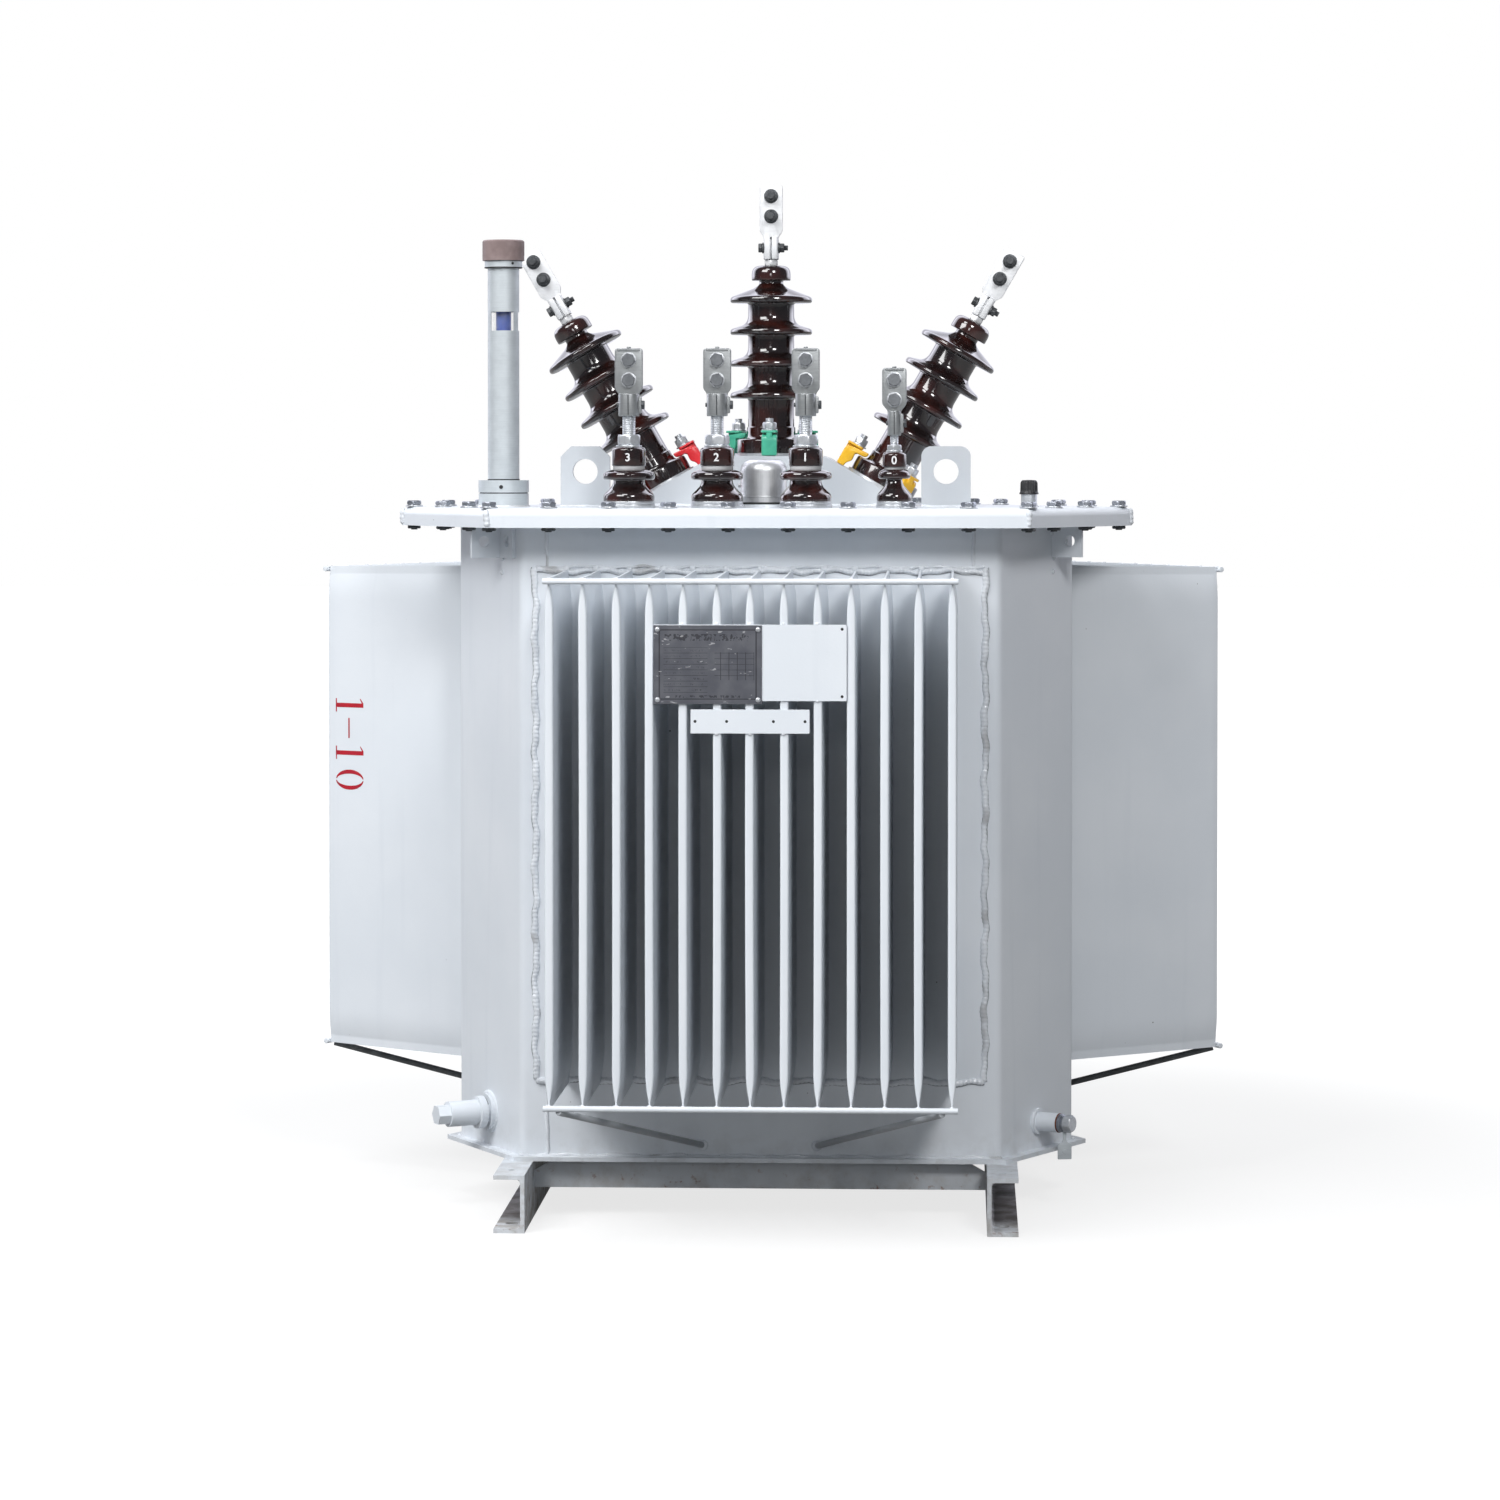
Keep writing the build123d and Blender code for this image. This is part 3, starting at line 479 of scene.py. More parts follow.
# %% [markdown]
# ## Tank paint
#
# The tank has a thick pale grey paint, sprayed over welds and mill scale. It has a
# fine orange peel, faint runs, a few dark specks where it chipped, and dust and
# rust near the ground. All of it hangs on the Object coordinates, which are metres
# in the model's own frame, so the dirt knows how high it is.

# %% Tank paint


def tank_paint(name, grime_and_shade=0.0, shade=1.0):
    """Pale grey gloss paint with orange peel, specks, runs, and dirt near the ground.

    grime_and_shade from 0 to 1 adds more dirt and rust near the ground, and a painted
    shade: dark brown inside a runner's channel, darker still under the tank. Shade
    multiplies the paint's two tones, and below 1 it paints shade with a darker copy.
    """
    paint = Finish(name, ior=1.5, specular_ior_level=0.3)
    height = paint.axis("Z")
    tones = shade * np.array([(0.745, 0.785, 0.83), (0.79, 0.825, 0.865)])
    base = paint.mix(paint.noise(5.0, 4.0).rise(0.35, 0.7), *tones.tolist())
    runs = paint.noise(1.0, 3.0, place=paint.stretched(38, 38, 2.2)).rise(0.55, 0.8)
    base = paint.mix(runs * 0.25, base, (0.62, 0.665, 0.72))
    dirt = (1 - height.rise(0.0, 0.16)) * paint.noise(34.0, 5.0, 0.6).rise(0.42 - 0.14 * grime_and_shade, 0.72)
    base = paint.mix(dirt * (0.5 + 0.35 * grime_and_shade), base, (0.34, 0.31, 0.275))
    rust = (1 - height.rise(0.02, 0.10)) * paint.noise(70.0, 4.0, 0.62).rise(0.62 - 0.06 * grime_and_shade, 0.70)
    base = paint.mix(rust * 0.8, base, (0.20, 0.075, 0.025))
    # Runners get a painted shade in their channel and under the tank.
    if grime_and_shade:
        base = channel_dirt_and_shade(paint, base, height)
    specks = paint.spots(26.0, 0.022, 0.012) * paint.noise(3.0, 1.0).rise(0.55, 0.62)
    paint.feed("Base Color", paint.mix(specks * 0.85, base, (0.07, 0.06, 0.055)))
    paint.feed("Roughness", 0.27 + 0.12 * paint.noise(22.0, 3.0) + 0.25 * dirt)
    peel = paint.noise(420.0, 2.0) * 0.35 + paint.noise(60.0, 2.0) * 0.65
    paint.relief(peel, 0.00045, 0.55)


def channel_dirt_and_shade(paint, base, height):
    """Painted shade, partly dirt: dark brown between a runner's web and its flanges, and darker under the
    tank, away from its front end.
    """
    channel = paint.axis("X").only("ABSOLUTE").rise(0.324, 0.3265)
    channel = channel * (1 - height.rise(0.0725, 0.0745))
    # Painted shade with some dirt: the inside of the channel is darkened.
    inside = channel * height.rise(0.012, 0.03) * (0.62 + 0.38 * paint.noise(30.0, 4.0))
    base = paint.mix(inside, base, (0.075, 0.055, 0.045))
    # Painted shade: the runner darkens where it runs in under the tank.
    shade_under_tank = (paint.axis("Y") + 0.05 * paint.noise(20.0, 3.0)).rise(-0.40, -0.32) * channel
    return paint.mix(shade_under_tank * 0.9, base, (0.06, 0.045, 0.038))


tank_paint("tank_paint")
tank_paint("runner_paint", grime_and_shade=1.0)
# Darker copies of the tank paint are painted shade: on the cross members under the tank, and on the lugs and
# turret.
tank_paint("member_paint_shaded", grime_and_shade=0.15, shade=0.72)
tank_paint("lug_paint_shaded", shade=0.72)
tank_paint("cover_paint")
tank_paint("stay_paint_shaded", shade=0.5)
print(len(finishes), "paints")

# %% [markdown]
# ## Weld paint
#
# Over the beads the same paint is thicker and glossier, and a few grey-brown stains
# of flux show through it.

# %% Weld paint
weld = Finish("weld_paint", ior=1.5)
weld_base = weld.mix(weld.noise(30.0).rise(0.35, 0.7), (0.79, 0.82, 0.86), (0.66, 0.69, 0.73))
weld_stain = weld.noise(15.0).rise(0.60, 0.68) * 0.4
weld.feed("Base Color", weld.mix(weld_stain, weld_base, (0.27, 0.25, 0.235)))
weld.feed("Roughness", 0.13 + 0.16 * weld.noise(60.0))
weld.relief(weld.noise(180.0), 0.0005, 0.6)
print("weld paint")

# %% [markdown]
# ## Porcelain
#
# The bushings are stoneware with a very dark brown glaze. Glaze is glass, so the
# shine comes from a clear coat over a nearly black brown body, which thins to a
# warmer brown here and there.

# %% Porcelain
glaze = Finish("porcelain", ior=1.52, coat_weight=1.0, coat_roughness=0.04)
glaze_warm = glaze.noise(26.0, 4.0).rise(0.38, 0.72)
glaze_body = glaze.mix(glaze_warm, (0.010, 0.0060, 0.006), (0.042, 0.0105, 0.008))
glaze_pits = glaze.spots(160.0, 0.03, 0.03) * glaze.noise(9.0, 1.0).rise(0.55, 0.65)
glaze.feed("Base Color", glaze.mix(glaze_pits * 0.6, glaze_body, (0.11, 0.06, 0.04)))
glaze.feed("Roughness", 0.10 + 0.08 * glaze.noise(14.0, 2.0))
glaze.relief(glaze.noise(46.0, 2.0), 0.0006, 0.35)
print("porcelain")

# %% [markdown]
# ## Metals
#
# Bare metal parts differ in two things: how bright they are, and what marks the
# maker's process left. Zinc plating has faint crystals, a cast clamp has a fine
# grain, a spun cap has rings, and black bolts are hardly metal at all. One function
# takes those numbers.

# %% Metals


def metal(name, colour, worn, rough, grain=(300, 300, 300), metallic=1.0, mark=0.4):
    """Metal with two tones in clouds, a stretched grain and smudged gloss."""
    finish = Finish(name, metallic=metallic)
    clouds = finish.noise(45.0, 4.0, 0.6)
    lines = finish.noise(1.0, 3.0, place=finish.stretched(*grain))
    wear = clouds.rise(0.3, 0.75) * 0.7 + lines.rise(0.4, 0.7) * 0.3
    finish.feed("Base Color", finish.mix(wear, colour, worn))
    finish.feed("Roughness", rough + 0.14 * clouds + mark * 0.12 * lines)
    finish.relief(lines, 0.0002, mark)


metal("zinc", (0.66, 0.68, 0.70), (0.46, 0.48, 0.51), 0.30, metallic=0.75)
metal("bolt_zinc", (0.26, 0.28, 0.32), (0.42, 0.44, 0.48), 0.30, metallic=0.85)
metal("bolt_grey", (0.15, 0.16, 0.17), (0.24, 0.25, 0.265), 0.34, metallic=0.6)
metal("terminal_alloy", (0.385, 0.40, 0.405), (0.275, 0.29, 0.295), 0.28, (60, 60, 500), 0.7)
metal("white_alloy", (0.84, 0.85, 0.86), (0.70, 0.71, 0.73), 0.40, (60, 60, 400), 0.35)
metal("dark_steel", (0.055, 0.06, 0.065), (0.13, 0.135, 0.14), 0.34, metallic=0.7)
metal("stainless", (0.74, 0.75, 0.76), (0.56, 0.57, 0.58), 0.30, (420, 420, 14), 0.7, mark=0.6)
metal("gauge_alloy", (0.60, 0.645, 0.67), (0.50, 0.54, 0.565), 0.40, (30, 30, 700), 0.35)
print(len(finishes), "finishes so far")

# %% [markdown]
# ## Claw paints, plastics and rubber
#
# The three claw sets carry the phase colours. Their paint is brushed on over cast
# iron, so it is glossy, a little uneven, and chipped to the metal in small spots.
# Rubber, plastic and plain primer are simple: two near tones and a soft relief.

# %% Coloured finishes


def claw_paint(name, colour, shade):
    """Gloss enamel on a casting: sand texture under it, and small chips."""
    enamel = Finish(name, ior=1.5, coat_weight=0.5, coat_roughness=0.12)
    tone = enamel.mix(enamel.noise(60.0).rise(0.3, 0.7), colour, shade)
    chips = enamel.noise(210.0, 3.0, 0.6).rise(0.70, 0.73)
    enamel.feed("Base Color", enamel.mix(chips, tone, (0.55, 0.55, 0.55)))
    enamel.feed("Roughness", 0.26 + 0.16 * enamel.noise(120.0))
    enamel.relief(enamel.noise(330.0), 0.0005, 0.6)


def moulded(name, colour, shade, rough=0.45, grain=500.0):
    """Plastic, rubber or primer: two near tones and a fine skin."""
    plastic = Finish(name, ior=1.48)
    plastic.feed("Base Color", plastic.mix(plastic.noise(50.0, 4.0).rise(0.35, 0.7), colour, shade))
    plastic.feed("Roughness", rough + 0.12 * plastic.noise(90.0))
    plastic.relief(plastic.noise(grain, 2.0), 0.0002, 0.5)


claw_paint("claw_red", (0.74, 0.022, 0.03), (0.60, 0.015, 0.022))
claw_paint("claw_green", (0.07, 0.47, 0.30), (0.05, 0.38, 0.25))
claw_paint("claw_yellow", (0.90, 0.52, 0.02), (0.80, 0.43, 0.015))
moulded("black_rubber", (0.018, 0.018, 0.019), (0.035, 0.035, 0.036), 0.6)
moulded("cap_black", (0.014, 0.014, 0.016), (0.026, 0.026, 0.028), 0.38)
moulded("cap_brown", (0.20, 0.145, 0.14), (0.27, 0.205, 0.20), 0.5, 900.0)
moulded("float_blue", (0.015, 0.055, 0.36), (0.02, 0.08, 0.44), 0.25)
moulded("white_mark", (0.82, 0.82, 0.82), (0.72, 0.72, 0.73), 0.5)
moulded("stencil_red", (0.50, 0.010, 0.022), (0.40, 0.012, 0.03))
moulded("rust_red", (0.11, 0.022, 0.010), (0.20, 0.065, 0.03), 0.75)
moulded("cement", (0.52, 0.52, 0.53), (0.42, 0.42, 0.43), 0.6, 260.0)
# Dark grey that paints the shade on the side stays.
moulded("stay_dark_shade", (0.115, 0.122, 0.125), (0.19, 0.20, 0.205), 0.5)
# Dark grey ropes that paint the shade beside the weld beads.
moulded("bead_shade_dark", (0.22, 0.235, 0.25), (0.50, 0.525, 0.55), 0.5)
print(len(finishes), "finishes so far")

# %% [markdown]
# ## Glass
#
# The gauge's glass is thin and clear, so a low alpha is enough and refraction is
# not needed.

# %% Clear glass
glass = Finish("gauge_glass", ior=1.5, roughness=0.05)
glass_dust = glass.noise(60.0, 4.0).rise(0.45, 0.8)
glass.feed("Base Color", glass.mix(glass_dust, (0.80, 0.84, 0.86), (0.62, 0.64, 0.65)))
glass.feed("Alpha", 0.06 + 0.10 * glass_dust)
glass.material.surface_render_method = "BLENDED"
print("glass")

# %% [markdown]
# ## The rating plate
#
# The rating plate is etched metal: a frame and a blank table, drawn as ruled lines by
# comparing the plate's own coordinates with line positions, and filled with rows of
# small dashes where entries would be. No words are on it.
#
# u and v run from 0 to 1 over the plate. A row of lines comes from the fraction of u
# or v times their number, and each field is a span of u times a span of v.

# %% Etched plate
plate_low, plate_high = low("rating_plate"), high("rating_plate")
plate = Finish("plate_alloy", metallic=0.55)
u, v = (
    (plate.axis(letter) - plate_low[i] / 1000) * (1000 / (plate_high - plate_low)[i])
    for letter, i in (("X", 0), ("Z", 2))
)


def dashes(x_scale, z_scale, first, last):
    """Noise that is stretched over the plate, cut to hard spots."""
    return plate.noise(1.0, 2.0, place=plate.stretched(x_scale, 1, z_scale)).rise(first, last)


rows, columns = (v * 14.0).only("FRACT"), (u * 13.0).only("FRACT")
row_lines, column_lines = (1 - lines.rise(0.05, 0.12) for lines in (rows, columns))
frame_lines = u.within(0.045, 0.955) * v.within(0.05, 0.95) - u.within(0.058, 0.942) * v.within(0.066, 0.934)
rules = row_lines * v.within(0.14, 0.72) * u.within(0.09, 0.50)
table_lines = (column_lines + row_lines) * u.within(0.56, 0.93) * v.within(0.30, 0.66)
entries = dashes(900, 300, 0.56, 0.60) * rows.rise(0.28, 0.33) * (1 - rows.rise(0.62, 0.67))
entries = entries * v.within(0.14, 0.72) * (u.within(0.09, 0.26) + u.within(0.33, 0.47))
headings = v.within(0.80, 0.89) * u.within(0.10, 0.90) + v.within(0.075, 0.11) * u.within(0.2, 0.8)
ink = frame_lines + rules + table_lines + entries * 0.7 + dashes(330, 260, 0.50, 0.54) * headings
ink = ink.math("MINIMUM", ink, 1.0)
plate_base = plate.mix(plate.noise(40.0, 4.0).rise(0.3, 0.7), (0.105, 0.11, 0.13), (0.15, 0.155, 0.175))
plate_base = plate.mix(ink * 0.75, plate_base, (0.035, 0.035, 0.042))
scratches = dashes(90, 260, 0.69, 0.72) * 0.6
plate.feed("Base Color", plate.mix(scratches, plate_base, (0.62, 0.62, 0.64)))
plate.feed("Roughness", 0.42 + 0.15 * plate.noise(90.0))
plate.relief(1 - ink, 0.0002, 0.5)
print("plate", (plate_high - plate_low).round(1))

# %% [markdown]
# ## Finishes on the CAD nodes
#
# The right finish for a node is the one named like its slot in the record, apart
# from a few nodes painted in a batch of their own. Only the node's material slot
# changes: its mesh stays as it is.

# %% Dress the CAD nodes
# The lug and cross-member batches get darker copies of the tank paint, as painted shade.
own_batch = {
    "runner_paint": ("left_skid", "right_skid"),
    "member_paint_shaded": ("front_cross_member", "rear_cross_member"),
    "lug_paint_shaded": ("left_lifting_lug", "right_lifting_lug", "rear_lifting_lug", "hv_turret"),
    "cover_paint": ("cover", "number_plate", "plate_carrier"),
}
finish_of_node = {part["node"]: part["material_slot"] for part in frame["record"]["subparts"]}
finish_of_node |= {name: batch for batch, names in own_batch.items() for name in names}
for name, node in frame["nodes"].items():
    node.data.materials.clear()
    node.data.materials.append(finishes[finish_of_node[name]])
print(len(finish_of_node), "CAD nodes dressed")

# %% [markdown]
# ## The finned panels
#
# Each panel is one folded sheet: thirteen flat oil channels, pinched shut at their
# two ends like a tube of paste. In CAD they are plain ruled solids. Here each fin is
# a stack of thin outlines from its foot to its top. The half width follows
# 1 - (1 - t)^2 over the taper, which draws the pointed arch that a pinched channel
# has, and the broad faces swell a little under the oil.

# %% Fins
SIDES = {"front": 0, "right": 120, "left": 240}
PITCH, COUNT, DEPTH, FACE = 45.0, 13, 288.0, 318.0
FIN_LOW, FIN_HIGH = low("front_fin_panel")[2] + 3, high("front_fin_panel")[2] - 5
fin_places = [(i - (COUNT - 1) / 2) * PITCH for i in range(COUNT)]
random = np.random.default_rng(7)


def fin_half(z, d):
    """Half width of a fin at the height z and the depth d.

    It is 1.3 + 4.4 f, where f = 1 - (1 - t)^2 goes from 0 at the pinch to 1 at 42 mm
    further. Along the depth it gains 10 percent by sin(pi d / DEPTH), and loses a
    soft valley at 45 percent of the depth.
    """
    t = np.clip((np.minimum(z - FIN_LOW, FIN_HIGH - z) - 12) / 42, 0, 1)
    full = 1 - (1 - t) ** 2
    swell = 0.10 * np.sin(np.pi * np.clip(d, 0, DEPTH) / DEPTH)
    valley = 0.7 * np.exp(-(((d - 0.45 * DEPTH) / 16) ** 2))
    return (1.3 + 4.4 * full) * (1 + swell) - valley * full


def fin(lean):
    """Closed fin from its root on the panel's face to a tip with narrow round edges.

    It bows sideways by lean times half a sine over its height, growing with depth.
    Its top and bottom edges fall away by up to 4 mm towards the tip.
    """
    ends = np.array([0, 6, 10, 12, 13.5, 15, 18, 21, 25, 29, 34, 40, 47, 54, 64])
    rise = np.concatenate([ends, np.linspace(90, (FIN_HIGH - FIN_LOW) / 2, 6)])
    z = np.concatenate([FIN_LOW + rise, FIN_HIGH - rise[-2::-1]])[:, None]
    d = np.array([-1, 0.5, 2, 4, 7, 12, 30, 60, 90, 108, 126, 144, 170, 200, 240, 272])
    side = fin_half(z, d) + np.clip(5 - d, 0, 5) ** 2 / 6
    half = fin_half(z, DEPTH)
    corner = np.minimum(half * 0.7, 2.4)
    u = np.linspace(0, np.pi / 2, 5)
    x = np.concatenate([side, half - corner * (1 - np.cos(u))], 1)
    y = np.concatenate([np.broadcast_to(d, side.shape), DEPTH - corner * (1 - np.sin(u))], 1)
    x, y = np.concatenate([-x, x[:, ::-1]], 1), np.concatenate([y, y[:, ::-1]], 1)
    bow = lean * np.sin(np.pi * (z - FIN_LOW) / (FIN_HIGH - FIN_LOW)) * y / DEPTH
    edge = np.clip(1 - np.minimum(z - FIN_LOW, FIN_HIGH - z) / 60, 0, 1)
    fall = np.where(z < (FIN_LOW + FIN_HIGH) / 2, 4, -4) * edge * np.clip(y / DEPTH, 0, 1)
    return skin(np.stack([x + bow, -FACE - y, z + fall], -1))


sheet_low, sheet_high = FIN_LOW + 4, FIN_HIGH - 2
back_sheet = moved(
    slab(box_outline(630, sheet_high - sheet_low, 3), 2, 0.4),
    at(0, -FACE - 1, (sheet_low + sheet_high) / 2) @ turn(90, "X"),
)
for side, angle in SIDES.items():
    leans = random.uniform(-1.3, 1.3, COUNT)
    leans[-1] = 0
    fins = [back_sheet] + [moved(fin(lean), at(x, 0, 0)) for lean, x in zip(leans, fin_places)]
    build(f"fins_{side}", all_moved(fins, turn(angle)), "tank_paint", [f"{side}_fin_panel"])

# %% [markdown]
# ## Bars and stays
#
# A round bar runs across the fin tips near each end of a panel, and two thin stays
# run from the lower one back to the tank. The stays are a piece of their own, in
# painted shade: the front pair in a darker copy of the tank paint, and the side
# pairs in dark grey, for the shadow of the panels above them.

# %% Bars and stays
BAR_Y, BAR_HALF = -(FACE + DEPTH + 4.2), (COUNT - 1) * PITCH / 2 + 8
LOWER_BAR, UPPER_BAR = low("front_fin_panel")[2] + 9, high("front_fin_panel")[2] - 13
STAY_TOP, STAY_FOOT, STAY_DROP = 257, 80, 93


def rod(start, end, radius):
    """Round rod with soft ends from one point to another."""
    run = Vector(end) - Vector(start)
    aim = at(*start) @ run.to_track_quat("Z", "Y").to_matrix().to_4x4()
    return moved(disc(radius, run.length, 0.7, 32), aim)


bars = [rod((-BAR_HALF, BAR_Y, level), (BAR_HALF, BAR_Y, level), 4) for level in (LOWER_BAR, UPPER_BAR)]
stays = [
    rod((sign * STAY_TOP, BAR_Y, LOWER_BAR - 4.5), (sign * STAY_FOOT, -FACE, LOWER_BAR - STAY_DROP), 4.5)
    for sign in (-1, 1)
]
for side, angle in SIDES.items():
    build(f"bars_{side}", all_moved(bars, turn(angle)), "tank_paint", [f"{side}_fin_bars"])
    # Painted shade: the front stays in a darker copy of the tank paint, the side stays in dark grey.
    coat = "stay_paint_shaded" if side == "front" else "stay_dark_shade"
    build(f"stays_{side}", all_moved(stays, turn(angle)), "tank_paint", finish=coat)

# %% [markdown]
# ## Welds on the tank
#
# A bead runs round each panel where it joins the wall, down the wall's own seams
# above and below the panels, and along the base plate. Each bar is tacked to every
# fin with a dab. Beside the beads lie thin dark ropes, a painted shade with some dirt:
# they follow the same wandering lines, shifted, with far fewer points.

# %% Beads and dabs
SEAM, WELD_EDGE = 299, 315.0


def panel_welds(seed):
    """Beads round one panel, its wall seams, and the dabs on its bars and stays."""
    x, y, top, bottom = WELD_EDGE, -FACE - 1, sheet_high, sheet_low
    parts = [
        bead((-x, y, top + 1), (x, y, top + 1), 3.8, 5.0, seed, 2.6),
        bead((-x, y + 1, top + 6), (x, y + 1, top + 6), 2.4, 4.0, seed + 9, 1.8),
        bead((-x, y, bottom), (x, y, bottom), 4.8, 6.0, seed + 1, 2.4),
        bead((-x, y, bottom), (-x, y, top + 6), 4.6, 6.0, seed + 2, 2.2),
        bead((x, y, bottom), (x, y, top + 6), 4.6, 6.0, seed + 3, 2.2),
        bead((-SEAM, y + 2, top), (-SEAM, y + 2, wall_top), 2.8, seed=seed + 4),
        bead((SEAM, y + 2, top), (SEAM, y + 2, wall_top), 2.8, seed=seed + 5),
        bead((-SEAM, y + 2, wall_low), (-SEAM, y + 2, bottom), 2.8, seed=seed + 6),
        bead((-340, y + 1, wall_low), (340, y + 1, wall_low), 3.2, 4.0, seed + 7, 1.4),
    ]
    chance = np.random.default_rng(int(10 * seed))
    for level in (LOWER_BAR, UPPER_BAR):
        for x in fin_places:
            parts.append(blob((x, -FACE - DEPTH - 1, level + 3.2), chance.uniform(2.6, 4.2), 2.0))
    on_wall = turn(90, "X")
    for x in fin_places:
        root = (x + chance.uniform(-6, 3), y - 1, top + 3.5)
        parts.append(blob(root, chance.uniform(3.5, 5.5), 3.2, on_wall))
    parts += [blob((x, y, LOWER_BAR - STAY_DROP), 7.5, 4.0, on_wall) for x in (-STAY_FOOT, STAY_FOOT)]
    for _ in range(9):
        spot = (chance.choice([-SEAM, SEAM]) + chance.uniform(-4, 4), y + 2,
                chance.uniform(top + 8, wall_top - 8))
        parts.append(blob(spot, chance.uniform(1.2, 2.6), 1.6, on_wall))
    return parts


def bead_shadows(seed):
    """Dark ropes along the panel's beads: painted shade, with some dirt."""
    x, y, top, bottom = WELD_EDGE, -FACE - 0.5, sheet_high, sheet_low
    lines = [
        ((-x, y, bottom - 4.4), (x, y, bottom - 4.4), 1.2, 6.0, seed + 1, 2.4),
        ((-x - 4.2, y, bottom), (-x - 4.2, y, top + 6), 1.0, 6.0, seed + 2, 2.2),
        ((x + 4.2, y, bottom), (x + 4.2, y, top + 6), 1.0, 6.0, seed + 3, 2.2),
        ((-x, y - 2, top - 3), (x, y - 2, top - 3), 1.1, 5.0, seed, 2.6),
    ]
    return [bead(*line, step=2.4, sides=6) for line in lines]


for (side, angle), seed in zip(SIDES.items(), (0.3, 4.1, 8.7)):
    build(f"welds_{side}", all_moved(panel_welds(seed), turn(angle)), "tank_paint", finish="weld_paint")
    # Painted shade beside the beads, in dark ropes.
    build(f"undercuts_{side}", all_moved(bead_shadows(seed), turn(angle)), "tank_paint", finish="bead_shade_dark")

# %% [markdown]
# ## Welds on the cover
#
# The lugs, the turret and the sockets of the fittings stand in beads, and the
# cover's folded rim is closed with a short upright bead at each of its six corners.
# Those corners follow from the cover's box: half a long side is twice what the box
# reaches beyond the long side's distance times the cosine of 30 degrees.

# %% Cover beads
LUG_SIDE, LUG_REACH = 6.5, 36
cover_parts = []
for i, name in enumerate(("left_lifting_lug", "right_lifting_lug")):
    x, y = foot(name)[:2]
    for off in (-LUG_SIDE, LUG_SIDE):
        ends = [(x + reach, y + off, cover_top) for reach in (-LUG_REACH, LUG_REACH)]
        cover_parts.append(bead(*ends, 2.6, 4.0, i + off, 0.5))
x, y = foot("rear_lifting_lug")[:2]
for off in (-LUG_SIDE, LUG_SIDE):
    ends = [(x + off, y + reach, cover_top) for reach in (-LUG_REACH, LUG_REACH)]
    cover_parts.append(bead(*ends, 2.6, 4.0, off, 0.5))
(x0, y0, _), (x1, y1, _) = low("hv_turret"), high("hv_turret")
corners = [(x0, y0), (x1, y0), (x1, y1), (x0, y1)]
for start, end in zip(corners, corners[1:] + corners[:1]):
    cover_parts.append(bead((*start, cover_top), (*end, cover_top), 2.8, 4.5, start[0], 0.6))
for node, around in (("gauge_body", 36.6), ("relief_pad", 42.4), ("breather_neck", 12)):
    x, y, _ = foot(node)
    cover_parts.append(moved(ring_bead(around, 2.2, 3.6, around), at(x, y, cover_top)))

# %% [markdown]
# The upright beads follow, and after them the dabs on the wall's three bent corners.

# %% Rim beads and corner dabs
long_side = -low("cover")[1]
half_side = 2 * (high("cover")[0] - long_side * np.cos(radians(30)))
for angle in SIDES.values():
    for end in (-half_side, half_side):
        x, y = end * 0.996, -long_side * 0.996
        lump = bead((x, y, low("cover")[2] + 1), (x, y, cover_top - 2), 4.2, 7.0, x + angle, 1.0)
        cover_parts.append(moved(lump, turn(angle)))
for angle in (-30, 90, 210):
    for z in (905, 925, 945, 960):
        spot = turn(angle) @ at(451, 44 + 3 * np.sin(z), z) @ turn(90, "Y")
        cover_parts.append(blob((0, 0, 0), 3.4, 2.2, spot))
build("cover_welds", cover_parts, "tank_paint", finish="weld_paint")
print("cover corner", round(half_side, 1), round(long_side, 1))

# %% [markdown]
# ## Cover bolts
#
# Thirty-six bolts clamp the cover onto the tank's flange, ten along each long side
# and two on each cut corner. Each stands where its hole would be, turned by chance.
# Their nuts and thread ends hang below the rim.

# %% Cover bolts
FACE_ROW, CORNER_ROW, CORNER_REACH = -FACE - 52, -502, 46
along_face = [-375, -292, -208.5, -125, -41.7, 41.7, 125, 208.5, 292, 375]
bolt_places = [(angle, x, FACE_ROW) for angle in SIDES.values() for x in along_face]
bolt_places += [
    (angle, x, CORNER_ROW) for angle in (60, 180, 300) for x in (-CORNER_REACH, CORNER_REACH)
]
washers, heads, ends = [], [], []
for angle, x, y in bolt_places:
    spin = turn(random.uniform(0, 60))
    upper = turn(angle) @ at(x, y, cover_top) @ spin
    washers.append(moved(disc(12.5, 2.4, 0.8), upper))
    heads.append(moved(nut(19, 6.5), upper @ at(0, 0, 2.4)))
    lower = turn(angle) @ at(x, y, wall_top) @ turn(180, "X") @ spin
    ends += all_moved(bolt_head(18, 4.5, 11), lower)
    ends.append(moved(thread(5, 2, 1.75, 0.6, 16), lower @ at(0, 0, 6.2)))
build("cover_washers", washers, "zinc")
build("cover_bolts", heads, "zinc", finish="bolt_zinc")
build("cover_bolt_ends", ends, "zinc", finish="dark_steel")

# %% [markdown]
# ## High-voltage bushings
#
# The real ones are thrown on a wheel, glazed and fired. A lathe profile gives the
# same shape: a collar, a plain core with a small step, four sheds that shed rain,
# a neck and a cap. The profile is a list of corners with radii, and the four sheds
# repeat one group of corners.

# %% High-voltage porcelain
CORE, SHED, FIRST, STEP, SHEDS = 34.3, 61.0, 84.9, 47.2, 4
LAST_SHED = FIRST + (SHEDS - 1) * STEP
HV_TOP = LAST_SHED + 55.9
FAN_LEAN, FAN_X, FAN_EDGE, FAN_Y = 30, 161, 82, 60


